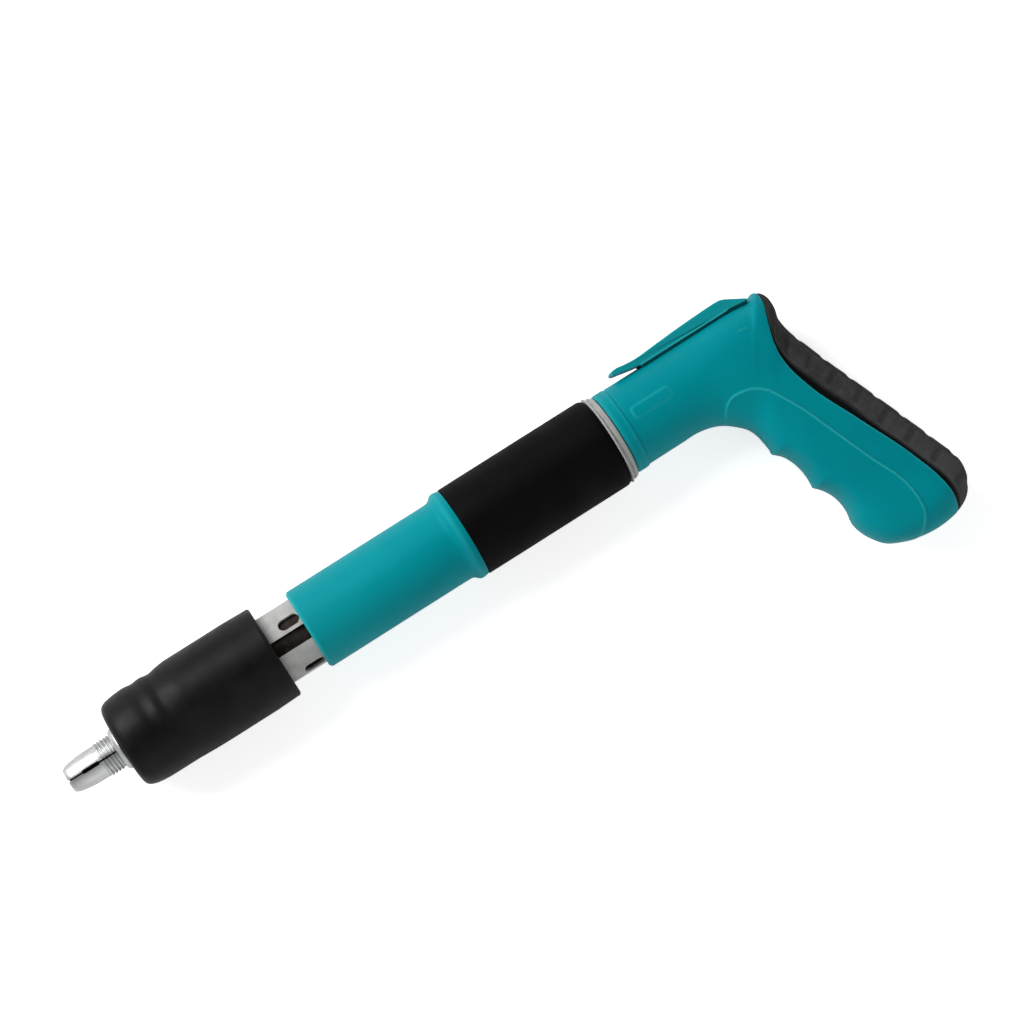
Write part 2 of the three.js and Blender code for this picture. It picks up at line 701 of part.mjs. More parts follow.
HANDLE_SCREW_PLACES.forEach((place, i) => {
  addPiece(`handle_screw_${i + 1}`, makeHandleScrew(place), plainSteel);
});
addPiece('belt_clip', makeBeltClip(), cyanPlastic);
addPiece('clip_screw', makeClipScrew(), plainSteel);

const box = new THREE.Box3().setFromObject(tool);
tool.position.set(-(box.min.x + box.max.x) / 2, -(box.min.y + box.max.y) / 2, -box.min.z);

export default tool;
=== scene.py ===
"""The looks of a push-to-fire rivet gun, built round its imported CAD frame.

The tables are in millimetres in the tool's own frame: X along the barrel towards the handle, Y
towards the belt clip and Z towards the tool's left side, with the barrel's axis at y = z = 0.
PLACE turns that frame into the row frame in metres. The tool lies on its right side, on z = 0.
"""

import json
import math

import bmesh
import bpy
import numpy as np
from mathutils import Matrix, Vector


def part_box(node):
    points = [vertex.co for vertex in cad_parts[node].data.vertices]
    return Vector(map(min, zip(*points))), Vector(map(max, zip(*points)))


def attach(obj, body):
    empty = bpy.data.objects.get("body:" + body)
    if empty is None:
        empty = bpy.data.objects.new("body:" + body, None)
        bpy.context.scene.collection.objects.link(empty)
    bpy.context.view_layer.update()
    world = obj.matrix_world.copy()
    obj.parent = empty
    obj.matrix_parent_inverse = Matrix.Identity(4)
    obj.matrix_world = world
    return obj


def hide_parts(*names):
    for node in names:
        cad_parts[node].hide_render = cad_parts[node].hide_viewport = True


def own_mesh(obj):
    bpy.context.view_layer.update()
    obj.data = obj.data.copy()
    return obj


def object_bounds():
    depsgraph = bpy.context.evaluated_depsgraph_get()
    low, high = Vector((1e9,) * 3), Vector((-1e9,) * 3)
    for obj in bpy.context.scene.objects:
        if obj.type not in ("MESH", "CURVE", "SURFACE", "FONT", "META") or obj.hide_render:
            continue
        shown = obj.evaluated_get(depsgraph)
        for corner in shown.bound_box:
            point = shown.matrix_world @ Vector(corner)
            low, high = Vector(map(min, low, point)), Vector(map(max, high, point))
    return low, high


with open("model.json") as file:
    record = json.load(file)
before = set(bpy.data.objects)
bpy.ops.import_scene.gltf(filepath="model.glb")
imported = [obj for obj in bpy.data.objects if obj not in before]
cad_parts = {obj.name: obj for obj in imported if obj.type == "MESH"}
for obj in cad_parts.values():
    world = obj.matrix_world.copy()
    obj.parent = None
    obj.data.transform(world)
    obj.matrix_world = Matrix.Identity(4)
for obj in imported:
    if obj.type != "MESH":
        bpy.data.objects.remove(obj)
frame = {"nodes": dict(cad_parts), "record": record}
CAD_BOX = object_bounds()

# ------ the tool's frame

MM = 0.001
BODY_TUBE = {"start": 125, "end": 330, "outer": 16.9, "inner": 16}
TUBE_LOW, TUBE_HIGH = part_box("body_tube")
ORIGIN = (TUBE_LOW + TUBE_HIGH) / 2
ORIGIN.x = TUBE_LOW.x - BODY_TUBE["start"] * MM
PLACE = Matrix.Translation(ORIGIN) @ Matrix.Scale(MM, 4)
BODY_OF = {
    node: body
    for body, nodes in frame["record"]["behaviour"]["bodies"].items()
    for node in nodes
}


def at(x, y, z):
    """Gives the place in the row frame of a point in the tool's frame."""
    return PLACE @ Vector((x, y, z))


def add_object(name, data):
    thing = bpy.data.objects.new(name, data)
    bpy.context.scene.collection.objects.link(thing)
    return thing


# ------ camera, lights and floor

CAMERA = {"eye": (107, -3, 1290), "target": (221, -3, 0), "up": (0.536, 0.844, 0), "lens": 106}
LIGHTS = {
    # name: (place in the tool's frame, size in metres, power in watts)
    "key": ((-420, 1034, 860), 1.1, 24),
    "fill": ((260, -1231, 918), 2.4, 8),
}
SKY = {"horizon": 0.8, "zenith": 0.05}
FLOOR = {"reach": 6, "gap": 0.1 * MM}       # in metres


def aim(thing, eye, target, up):
    """Places a camera or light at eye, facing target."""
    ahead = (target - eye).normalized()
    right = ahead.cross(Vector(up)).normalized()
    turn = Matrix((right, right.cross(ahead), -ahead)).transposed().to_4x4()
    thing.matrix_world = Matrix.Translation(eye) @ turn


def add_camera():
    data = bpy.data.cameras.new("camera")
    data.lens = CAMERA["lens"]
    camera = add_object("camera", data)
    aim(camera, at(*CAMERA["eye"]), at(*CAMERA["target"]), CAMERA["up"])
    bpy.context.scene.camera = camera


def add_lights():
    middle = at(*CAMERA["target"])
    for name, (place, size, power) in LIGHTS.items():
        data = bpy.data.lights.new(name, "AREA")
        data.shape = "DISK"
        data.size = size
        data.energy = power
        aim(add_object(name, data), at(*place), middle, CAMERA["up"])
    bpy.context.scene.view_settings.view_transform = "Standard"


def add_surround():
    """A white studio that is bright low down and dark overhead."""
    world = bpy.data.worlds.new("studio")
    world.use_nodes = True
    bpy.context.scene.world = world
    nodes, links = world.node_tree.nodes, world.node_tree.links
    direction = nodes.new("ShaderNodeTexCoord").outputs["Generated"]
    parts = nodes.new("ShaderNodeSeparateXYZ")
    links.new(direction, parts.inputs["Vector"])
    fade = nodes.new("ShaderNodeMapRange")
    links.new(parts.outputs["Z"], fade.inputs["Value"])
    fade.inputs["To Min"].default_value = SKY["horizon"]
    fade.inputs["To Max"].default_value = SKY["zenith"]
    nodes["Background"].inputs["Color"].default_value = (1, 1, 1, 1)
    links.new(fade.outputs["Result"], nodes["Background"].inputs["Strength"])


def add_floor():
    reach = FLOOR["reach"]
    mesh = bpy.data.meshes.new("floor")
    corners = [(-reach, -reach, 0), (reach, -reach, 0), (reach, reach, 0), (-reach, reach, 0)]
    mesh.from_pydata(corners, [], [(0, 1, 2, 3)])
    floor = add_object("floor", mesh)
    floor.location.z = CAD_BOX[0].z - FLOOR["gap"]
    mesh.materials.append(floor_paint())


# ------ materials


class Finish:
    """A Principled material whose patterns are measured in millimetres on the piece."""

    def __init__(self, name, **sockets):
        self.material = bpy.data.materials.new(name)
        self.material.use_nodes = True
        self.tree = self.material.node_tree
        self.shader = self.tree.nodes["Principled BSDF"]
        for socket, value in sockets.items():
            self.shader.inputs[socket.replace("_", " ")].default_value = value
        self.place = self.add("ShaderNodeTexCoord").outputs["Object"]

    def add(self, kind, inputs=None, **settings):
        node = self.tree.nodes.new(kind)
        for name, value in settings.items():
            setattr(node, name, value)
        for name, value in (inputs or {}).items():
            if isinstance(value, bpy.types.NodeSocket):
                self.tree.links.new(value, node.inputs[name])
            else:
                node.inputs[name].default_value = value
        return node

    def stretched(self, factors):
        """The place on the piece, with each axis scaled, so that a pattern runs along one."""
        inputs = {"Vector": self.place, "Scale": factors}
        return self.add("ShaderNodeMapping", inputs).outputs["Vector"]

    def noise(self, size, detail, place=None):
        """Soft noise whose blotches are about size millimetres across."""
        inputs = {"Vector": place or self.place, "Scale": 1 / (size * MM), "Detail": detail}
        return self.add("ShaderNodeTexNoise", inputs).outputs["Fac"]

    def cells(self, size):
        """The distance to the nearest of many scattered points about size millimetres apart."""
        inputs = {"Vector": self.place, "Scale": 1 / (size * MM)}
        return self.add("ShaderNodeTexVoronoi", inputs).outputs["Distance"]

    def painted(self, name):
        """The share that a mesh gives each of its points, 0 where it gives none."""
        return self.add("ShaderNodeAttribute", attribute_name=name).outputs["Fac"]

    def edges(self):
        """1 on the piece's raised edges, 0 elsewhere."""
        point = self.add("ShaderNodeNewGeometry").outputs["Pointiness"]
        return self.spread(point, 0.52, 0.58, 0, 1)

    def spread(self, value, low, high, new_low, new_high):
        """Maps low to new_low and high to new_high, and holds what lies beyond them."""
        inputs = {"Value": value, "From Min": low, "From Max": high}
        inputs |= {"To Min": new_low, "To Max": new_high}
        return self.add("ShaderNodeMapRange", inputs).outputs["Result"]

    def varied(self, size, detail, low, high):
        """A measure, such as roughness, that wanders between low and high."""
        return self.spread(self.noise(size, detail), 0.3, 0.7, low, high)

    def times(self, first, second):
        node = self.add("ShaderNodeMath", operation="MULTIPLY")
        self.tree.links.new(first, node.inputs[0])
        self.tree.links.new(second, node.inputs[1])
        return node.outputs[0]

    def mix(self, share, first, second):
        """Mixes two colours, each a node's output or three numbers."""
        inputs = {"Fac": share}
        for name, colour in (("Color1", first), ("Color2", second)):
            is_socket = isinstance(colour, bpy.types.NodeSocket)
            inputs[name] = colour if is_socket else (*colour, 1)
        return self.add("ShaderNodeMixRGB", inputs).outputs["Color"]

    def bump(self, height, depth, under=None):
        """A bump whose full height is depth millimetres, over another bump if one is given."""
        inputs = {"Height": height, "Distance": depth * MM}
        if under:
            inputs["Normal"] = under
        return self.add("ShaderNodeBump", inputs).outputs["Normal"]

    def drive(self, **outputs):
        for socket, output in outputs.items():
            self.tree.links.new(output, self.shader.inputs[socket.replace("_", " ")])
        return self.material


def cyan_plastic():
    """Satin moulded plastic with a fine spark-eroded grain and highlights painted on its edges."""
    finish = Finish("cyan_plastic", Specular_IOR_Level=0.12, Specular_Tint=(0.2, 0.95, 1, 1))
    cloudy = finish.spread(finish.noise(38, 3), 0.35, 0.65, 0, 1)
    base = finish.mix(cloudy, (0.0002, 0.215, 0.252), (0.0003, 0.242, 0.28))
    # Painted highlights: paler along the raised edges, broken up by noise, and on the rims that the
    # mesh marks.
    lightened = finish.times(finish.edges(), finish.spread(finish.noise(6, 4), 0.3, 0.6, 0.3, 1))
    lighter = finish.mix(lightened, base, (0.03, 0.38, 0.4))
    colour = finish.mix(finish.painted("painted_highlight"), lighter, (0.025, 0.39, 0.415))
    grain = finish.bump(finish.noise(0.45, 3), 0.03)
    uneven = finish.bump(finish.noise(14, 2), 0.1, grain)
    return finish.drive(Base_Color=colour, Normal=uneven, Roughness=finish.varied(9, 4, 0.38, 0.5))


def cover_rubber():
    """Smooth black rubber, a little dusty, with fine moulding grain."""
    finish = Finish("cover_rubber", Specular_IOR_Level=0.115)
    dust = finish.spread(finish.noise(11, 5), 0.42, 0.72, 0, 1)
    base = finish.mix(dust, (0.0036, 0.0036, 0.004), (0.0072, 0.0072, 0.0077))
    # Painted highlight: paler on the raised edges.
    colour = finish.mix(finish.edges(), base, (0.02, 0.02, 0.021))
    grain = finish.bump(finish.noise(0.5, 3), 0.04)
    uneven = finish.bump(finish.noise(8, 2), 0.12, grain)
    return finish.drive(Base_Color=colour, Normal=uneven, Roughness=finish.varied(7, 4, 0.36, 0.48))


def sleeve_rubber():
    """Deep black matt rubber of the hand sleeve, polished a little by the hand."""
    finish = Finish("sleeve_rubber", Specular_IOR_Level=0.06)
    lighter = finish.spread(finish.noise(16, 4), 0.4, 0.7, 0, 1)
    colour = finish.mix(lighter, (0.0012, 0.0012, 0.0014), (0.0022, 0.0021, 0.0024))
    grain = finish.bump(finish.noise(0.6, 4), 0.06)
    return finish.drive(Base_Color=colour, Normal=grain, Roughness=finish.varied(12, 3, 0.5, 0.64))


def pad_rubber():
    """Grainy charcoal rubber with soft steps and rubbed patches, paler towards the heel."""
    finish = Finish("pad_rubber", Specular_IOR_Level=0.12)
    blotch = finish.spread(finish.noise(7, 4), 0.35, 0.65, 0, 1)
    base = finish.mix(blotch, (0.022, 0.021, 0.0203), (0.038, 0.0368, 0.0358))
    lightened = finish.spread(finish.noise(2.4, 4), 0.5, 0.75, 0, 0.7)
    grained = finish.mix(lightened, base, (0.055, 0.054, 0.054))
    # Paler towards the heel.
    lighter = finish.mix(finish.painted("lighter"), grained, (0.085, 0.083, 0.086))
    colour = finish.mix(finish.painted("shade"), lighter, (0.0018, 0.0022, 0.0024))
    pits = finish.bump(finish.cells(0.9), 0.07)
    lumps = finish.bump(finish.noise(3, 3), 0.16, pits)
    return finish.drive(Base_Color=colour, Normal=lumps, Roughness=finish.varied(3, 3, 0.66, 0.86))


def plating(name, light, hazy, rough):
    """Chromium plating with faint turning lines and finger haze."""
    finish = Finish(name, Metallic=1.0)
    haze = finish.spread(finish.noise(6, 4), 0.4, 0.7, 0, 1)
    bright = finish.mix(haze, light, hazy)
    colour = finish.mix(finish.painted("shade"), bright, (0.05, 0.05, 0.05))
    lines = finish.noise(0.25, 2, finish.stretched((1, 0.04, 0.04)))
    return finish.drive(
        Base_Color=colour,
        Normal=finish.bump(lines, 0.006),
        Roughness=finish.varied(4, 4, rough - 0.05, rough + 0.05),
    )


def steel(name, dark, light, rough):
    """Turned steel: two tones in soft patches, and lines round the barrel's axis."""
    finish = Finish(name, Metallic=1.0)
    patches = finish.spread(finish.noise(3.5, 5), 0.35, 0.65, 0, 1)
    colour = finish.mix(patches, dark, light)
    lines = finish.noise(0.3, 2, finish.stretched((1, 0.05, 0.05)))
    return finish.drive(
        Base_Color=colour,
        Normal=finish.bump(lines, 0.02),
        Roughness=finish.varied(2.5, 4, rough - 0.06, rough + 0.08),
    )


def floor_paint():
    """White paper, overexposed so that shadows on it stay faint, but not in reflections."""
    finish = Finish("floor_paint", Roughness=0.9, Emission_Color=(1, 1, 1, 1))
    seen = finish.add("ShaderNodeLightPath").outputs["Is Camera Ray"]
    tone = finish.varied(400, 2, 0, 1)
    return finish.drive(
        Base_Color=finish.mix(tone, (0.9, 0.9, 0.9), (0.93, 0.93, 0.93)),
        Emission_Strength=finish.spread(seen, 0, 1, 0, 0.62),
    )


METALS = {
    # slot: (maker, two tones, roughness)
    "chrome": (plating, (0.58, 0.585, 0.585), (0.5, 0.505, 0.505), 0.38),
    "satin_chrome": (plating, (0.59, 0.59, 0.58), (0.54, 0.542, 0.53), 0.9),
    "dark_steel": (steel, (0.017, 0.0135, 0.0105), (0.038, 0.032, 0.028), 0.6),
    "plain_steel": (steel, (0.26, 0.265, 0.27), (0.36, 0.36, 0.365), 0.32),
    "spring_steel": (steel, (0.14, 0.145, 0.155), (0.23, 0.235, 0.24), 0.3),
}
SOFT = (cyan_plastic, cover_rubber, sleeve_rubber, pad_rubber)
MATERIALS = {make.__name__: make() for make in SOFT}
MATERIALS |= {slot: make(slot, *tones) for slot, (make, *tones) in METALS.items()}

# ------ making and finishing meshes


def new_piece(name, points, faces):
    mesh = bpy.data.meshes.new(name)
    mesh.from_pydata([tuple(point) for point in points], [], faces)
    return add_object(name, mesh)


def tidy(piece):
    """Merges doubled points and turns every face outwards."""
    shape = bmesh.new()
    shape.from_mesh(piece.data)
    bmesh.ops.remove_doubles(shape, verts=shape.verts, dist=1e-4)
    bmesh.ops.dissolve_degenerate(shape, edges=shape.edges, dist=1e-5)
    bmesh.ops.recalc_face_normals(shape, faces=shape.faces)
    shape.to_mesh(piece.data)
    shape.free()


def paint(piece, name, values, domain="POINT"):
    """Gives each of a piece's points or faces its own share of a second colour in its finish."""
    shares = piece.data.attributes.new(name, "FLOAT", domain)
    shares.data.foreach_set("value", np.clip(np.array(values, np.float32), 0, 1))


def combine(piece, tools, operation):
    """Cuts the tools from a piece, or joins them to it, and removes them."""
    tidy(piece)
    for tool in tools:
        tidy(tool)
        modifier = piece.modifiers.new(tool.name, "BOOLEAN")
        modifier.operation = operation
        modifier.solver = "EXACT"
        modifier.object = tool
    graph = bpy.context.evaluated_depsgraph_get()
    made = bpy.data.meshes.new_from_object(piece.evaluated_get(graph))
    piece.modifiers.clear()
    piece.data = made
    for tool in tools:
        bpy.data.objects.remove(tool)
    return piece


def finish_piece(piece, slot, *nodes, sharp_over=40):
    """Puts a piece in the row frame with its finish, on the body of the nodes it stands for."""
    tidy(piece)
    piece.data.transform(PLACE)
    piece.data.materials.clear()
    piece.data.materials.append(MATERIALS[slot])
    piece.data.shade_smooth()
    piece.data.set_sharp_from_angle(angle=math.radians(sharp_over))
    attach(piece, BODY_OF[nodes[0]])
    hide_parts(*nodes)


def smooth_step(value):
    value = np.clip(value, 0, 1)
    return value * value * (3 - 2 * value)


def flow(knots, spacing, gaps=None, cusps=()):
    """Gives evenly spaced rows on smooth curves through the knots.

    gaps are the distances between knots. At the knots in cusps the last column turns sharply.
    """
    knots = np.array(knots, float)
    if gaps is None:
        gaps = np.linalg.norm(np.diff(knots, axis=0), axis=1)
    chords = np.diff(knots, axis=0) / gaps[:, None]
    weight = (gaps[1:] / (gaps[1:] + gaps[:-1]))[:, None]
    inner = chords[:-1] * weight + chords[1:] * (1 - weight)
    leave = np.vstack([chords[:1], inner, chords[-1:]])
    arrive = leave.copy()
    for knot in cusps:
        leave[knot, -1] = 1.5 * chords[knot, -1] - 0.5 * leave[knot + 1, -1]
        arrive[knot, -1] = 1.5 * chords[knot - 1, -1] - 0.5 * arrive[knot - 1, -1]
    places = np.concatenate([[0], np.cumsum(gaps)])
    wanted = np.linspace(0, places[-1], max(2, round(places[-1] / spacing) + 1))
    i = np.clip(np.searchsorted(places, wanted, side="right") - 1, 0, len(gaps) - 1)
    gap = gaps[i][:, None]
    t = (wanted - places[i])[:, None] / gap
    return (
        (2 * t**3 - 3 * t**2 + 1) * knots[i]
        + (t**3 - 2 * t**2 + t) * gap * leave[i]
        + (3 * t**2 - 2 * t**3) * knots[i + 1]
        + (t**3 - t**2) * gap * arrive[i + 1]
    )


def rounded(corners, steps=5):
    """Rounds a closed outline. A corner is (x, y), or (x, y, how far back the rounding starts)."""
    result = []
    for i, corner in enumerate(corners):
        here = Vector(corner[:2])
        if len(corner) == 2:
            result.append(here)
            continue
        sides = [Vector(corners[i - 1][:2]) - here]
        sides.append(Vector(corners[(i + 1) % len(corners)][:2]) - here)
        start, end = (here + side.normalized() * min(corner[2], side.length / 2) for side in sides)
        for k in range(steps + 1):
            t = k / steps
            result.append(start * (1 - t) ** 2 + here * 2 * t * (1 - t) + end * t**2)
    return result


def turned(name, outline, sides=96, radius_at=None):
    """Turns a closed outline of (x, radius) points about the X axis."""
    points = []
    rings = []
    for x, radius in outline:
        if radius <= 0:
            rings.append([len(points)] * sides)
            points.append((x, 0, 0))
            continue
        rings.append(range(len(points), len(points) + sides))
        for i in range(sides):
            angle = 2 * math.pi * i / sides
            here = radius_at(x, radius, angle) if radius_at else radius
            points.append((x, here * math.cos(angle), here * math.sin(angle)))
    faces = []
    for ring, after in zip(rings, rings[1:] + rings[:1]):
        for i in range(sides):
            j = (i + 1) % sides
            corners = list(dict.fromkeys([ring[i], ring[j], after[j], after[i]]))
            if len(corners) > 2:
                faces.append(corners)
    return new_piece(name, points, faces)


def hollow(start, end, outer, inner, edge=0.3, inner_edge=None):
    """The corners of a plain ring's or tube's outline."""
    inside = edge if inner_edge is None else inner_edge
    return [(start, inner, inside), (start, outer, edge), (end, outer, edge), (end, inner, inside)]


def block(name, low, high):
    """A box-shaped cutter between two corners."""
    (x0, y0, z0), (x1, y1, z1) = low, high
    return prism(name, [(x0, y0), (x1, y0), (x1, y1), (x0, y1)], z0, z1)


def prism(name, outline, low, high):
    """A closed outline of (x, y) points, drawn out from z = low to z = high."""
    points = [(x, y, z) for z in (low, high) for x, y in outline]
    return new_piece(name, points, sweep_faces(2, len(outline)))


def sweep_faces(rings, sides):
    """The faces of a skin over closed rings of points, with a cap at each end."""
    faces = [list(range(sides)), list(range((rings - 1) * sides, rings * sides))]
    for ring in range(rings - 1):
        for i in range(sides):
            a = ring * sides + i
            b = ring * sides + (i + 1) % sides
            faces.append([a, b, b + sides, a + sides])
    return faces


ALONG_Y = Matrix.Rotation(math.pi / 2, 4, "Z")
ALONG_Z = Matrix.Rotation(-math.pi / 2, 4, "Y")


def stand(piece, turn, *place):
    """Turns a piece that was turned about X onto another axis, and moves it to a place."""
    piece.data.transform(Matrix.Translation(place) @ turn)
    return piece


def rod(name, length, radius, sides=32):
    return turned(name, [(0, 0), (0, radius), (length, radius), (length, 0)], sides)


# ------ nose

FAR = 60            # further out than any piece that is cut right through
NOZZLE = {"bore": 4, "outer": 7.5, "end": 40}
THREAD = {
    "start": 18.2, "end": 26.1, "root": 7.35, "crest": 8.05, "pitch": 1.6, "fade": 0.8,
    "step": 0.15, "fullness": 0.7,
}
SLIT = {"count": 3, "narrow": 0.8, "wide": 1.7, "wideStart": 9.5, "wideEnd": 17.5, "end": 26.1}
SLIDE_TUBE = {"start": 33.3, "end": 190, "outer": 15.7, "inner": 14.5, "edge": 0.25}
GUIDE_SLOT = {"start": 96, "end": 153.3, "width": 6.9}
# Vents: the turn of the first from the left side in degrees, and the cutter's reach along Z.
VENT = {"x": 116.3, "length": 10, "width": 5.2, "first": 28, "count": 4, "reach": (11, 19)}
COVER = {"start": 28.8, "end": 104.9, "outer": 21.9, "bore": 16, "front_wall": 33, "hole": 8.1}
COVER_FACE = 13     # nearer the axis than this, the cover is the same all the way round
# The cover's skin, (x, radius) from the front: with its two waists, and underneath, without them.
COVER_WAISTED = [
    (28.8, 13.4), (28.86, 15.6), (29.3, 17.6), (30.3, 19.2), (32.2, 20.2), (35, 20.8),
    (38.5, 21.2), (42, 21.35), (46, 20.9), (50, 21.25), (54, 20.7), (58, 21.35), (62, 21.85),
    (66, 21.9), (70, 21.9),
]
COVER_UNDERSIDE = [
    (28.8, 13.4), (28.86, 16), (29.1, 17.4), (29.5, 18.4), (30.2, 19.2), (31.2, 19.85),
    (32.4, 20.3), (34, 20.75), (36.5, 21.1), (40, 21.35), (54, 21.4), (62, 21.75), (70, 21.9),
]


def make_collet_nozzle():
    start, end, plain = THREAD["start"], THREAD["end"], NOZZLE["outer"]

    def radius_at(x, radius, angle):
        if radius < plain or not start < x < end:
            return radius
        turn = (x - start) / THREAD["pitch"] - angle / (2 * math.pi)
        height = (0.5 - 0.5 * math.cos(2 * math.pi * turn)) ** THREAD["fullness"]
        into = min(x - start, end - x) / THREAD["fade"]
        crest = THREAD["root"] + (THREAD["crest"] - THREAD["root"]) * height
        return radius + (crest - radius) * min(1, into)

    front = rounded([
        (NOZZLE["end"], NOZZLE["bore"]), (2.2, NOZZLE["bore"], 0.4), (2.25, 5.3, 0.5),
        (4.1, 6.4, 0.8), (10, 7.42, 3), (16, plain),
    ])
    steps = round((end - start) / THREAD["step"])
    stretch = [(start + (end - start) * i / steps, plain) for i in range(steps + 1)]
    outline = [*front, *stretch, (NOZZLE["end"], plain)]
    nozzle = turned("nozzle_fine", outline, 96, radius_at)
    cutters = []
    for i in range(SLIT["count"]):
        turn = Matrix.Rotation(2 * math.pi * i / SLIT["count"], 4, "X")
        for width, low, high in (
            (SLIT["narrow"], 0, SLIT["end"]),
            (SLIT["wide"], SLIT["wideStart"], SLIT["wideEnd"]),
        ):
            cutter = block(f"slit_{i}_{low}", (low, -width / 2, 0), (high, width / 2, FAR))
            cutter.data.transform(turn)
            cutters.append(cutter)
    combine(nozzle, cutters, "DIFFERENCE")
    # The bore and the slits' walls get little light.
    hidden = []
    for face in nozzle.data.polygons:
        outward = Vector((0, *face.center[1:])).normalized()
        hidden.append(abs(face.normal.x) < 0.7 and face.normal.dot(outward) < 0.3)
    paint(nozzle, "shade", hidden, "FACE")
    finish_piece(nozzle, "chrome", "collet_nozzle")


def make_front_cover():
    plain_x, plain_radius = np.array(COVER_UNDERSIDE).T

    def radius_at(x, radius, angle):
        if x > plain_x[-1] or radius < COVER_FACE:
            return radius
        top = smooth_step((math.cos(angle) + 0.75) / 1.5)
        return top * radius + (1 - top) * np.interp(x, plain_x, plain_radius)

    start, end, outer, bore, wall, hole = COVER.values()
    rest = rounded([
        (end, outer, 1.9), (end, bore, 0.4), (wall, bore), (wall, hole), (start, hole, 0.3)
    ])
    lobes = [tuple(point) for point in flow(COVER_WAISTED, 0.5)]
    outline = [*lobes, (82, outer), (93, outer), *rest]
    cover = turned("cover_fine", outline, 128, radius_at)
    finish_piece(cover, "cover_rubber", "front_cover")


def make_slide_tube():
    tube = turned("slide_fine", rounded(hollow(**SLIDE_TUBE)), 128)
    half = GUIDE_SLOT["width"] / 2
    low = (GUIDE_SLOT["start"], -half, -FAR)
    cutters = [block("slot", low, (GUIDE_SLOT["end"], half, FAR))]
    run = (VENT["length"] - VENT["width"]) / 2
    for i in range(VENT["count"]):
        angle = VENT["first"] + 360 / VENT["count"] * i
        vent = vent_cutter(f"vent_{i}", run, VENT["width"] / 2)
        vent.data.transform(Matrix.Rotation(math.radians(-angle), 4, "X"))
        cutters.append(vent)
    combine(tube, cutters, "DIFFERENCE")
    finish_piece(tube, "satin_chrome", "slide_tube", sharp_over=30)


def vent_cutter(name, run, radius):
    """A round-ended bar that stands across the +Z side of the slide tube's wall."""
    steps = 16
    outline = []
    for end in (1, -1):
        for i in range(steps + 1):
            angle = -math.pi / 2 + math.pi * i / steps
            x = VENT["x"] + end * (run + radius * math.cos(angle))
            outline.append((x, end * radius * math.sin(angle)))
    return prism(name, outline, *VENT["reach"])


# ------ plain turned pieces

TURNED = {
    # node: (slot, sides, closed outline of (x, radius, rounding))
    "lock_ring": ("chrome", 96, [
        (26.4, 7.8), (26.4, 8.6, 0.3), (28, 9.8, 0.3), (28.5, 9.9, 0.2), (28.5, 7.8)
    ]),
    "muzzle_plate": ("plain_steel", 64, hollow(33.3, 39.7, 14.2, 7.8, 0.6, 0.3)),
    "liner_tube": ("dark_steel", 96, hollow(95, 158, 14, 12.4)),
    "barrel": ("plain_steel", 48, hollow(40.3, 159.7, 7, 4.2, 0.5, 0.4)),
    **{
        f"baffle_ring_{i}": ("dark_steel", 64, hollow(x, x + 3, 14.2, 7.6, 0.5, 0.4))
        for i, x in enumerate((52, 68, 84), 1)
    },
    "breech_block": ("plain_steel", 64, [
        (160, 2.6, 0.3), (160, 14.2, 0.6), (190, 14.2, 0.6), (190, 5.8, 0.4), (180, 5.8, 0.3),
        (180, 2.6),
    ]),
    "drive_pin": ("plain_steel", 32, [
        (156, 0), (156, 1.5, 0.4), (161, 2.1, 0.4), (193, 2.1, 0.2), (193, 5, 0.4),
        (197, 5, 0.4), (197, 2.4, 0.2), (212.7, 2.4, 0.5), (212.7, 0),
    ]),
    "stop_ring": ("plain_steel", 64, hollow(228.7, 232.7, 15.7, 8.7, 0.4)),
    "front_sleeve": ("cyan_plastic", 128, [
        (121.3, 16, 0.2), (121.3, 17.5, 0.25), (122.4, 18.65, 0.4), (190.5, 18.65, 3),
        (193.6, 18.8, 1.2), (196, 21.1, 1.1), (198, 21.1, 0.9), (199.3, 20.8, 0.5),
        (200, 20.7, 0.2), (200, 17.2), (124.7, 17.2), (124.7, 16),
    ]),
    "grip_sleeve": ("sleeve_rubber", 128, [
        (200.3, 17.2), (200.3, 21, 0.3), (215, 21.05, 3), (271.6, 21.05, 1.4),
        (273.3, 19.9, 0.4), (273.3, 17.2),
    ]),
    "retaining_ring": ("satin_chrome", 128, [
        (273.6, 17.2), (273.6, 20.9, 0.25), (274.2, 20.9, 0.2), (274.4, 19.4, 0.1),
        (275.4, 19.4, 0.1), (275.6, 20.2, 0.1), (277.3, 19.4, 0.2), (277.5, 17.2),
    ]),
    "striker": ("plain_steel", 64, [
        (213, 2.9, 0.3), (213, 7, 0.6), (233, 7, 0.8), (233, 15.5, 0.5), (258, 15.5, 0.5),
        (258, 6, 0.6), (266, 6, 0.8), (266, 0), (236, 0), (236, 2.9),
    ]),
    "body_tube": ("plain_steel", 128, hollow(**BODY_TUBE)),
    "rear_plug": ("plain_steel", 64, [
        (300, 0), (300, 6, 0.8), (318, 6, 0.8), (318, 15.7, 0.5), (330, 15.7, 0.5), (330, 0)
    ]),
}
# Where along the front sleeve a highlight is painted on its edges, and how strongly.
SLEEVE_HIGHLIGHTS = [(121.5, 0.7), (196.8, 0.3)]
SLEEVE_HIGHLIGHT_HALF = 1.6
SEAR_SLOT = {"low": (215.2, -FAR, -3.8), "high": (219.8, FAR, 3.8)}
# Holes right across, for the guide pins and the tube pin: x and radius.
PIN_HOLES = {"body_tube": [(150, 3.3), (324, 2.3)], "rear_plug": [(324, 2.3)]}
# The pins that stand along Z: name, x, radius, where they start, length and finish.
PINS = [
    ("guide_pin_left", 150, 3, 14.4, 2.5, "dark_steel"),
    ("guide_pin_right", 150, 3, -16.9, 2.5, "dark_steel"),
    ("tube_pin", 324, 2, -16.5, 33, "plain_steel"),
]


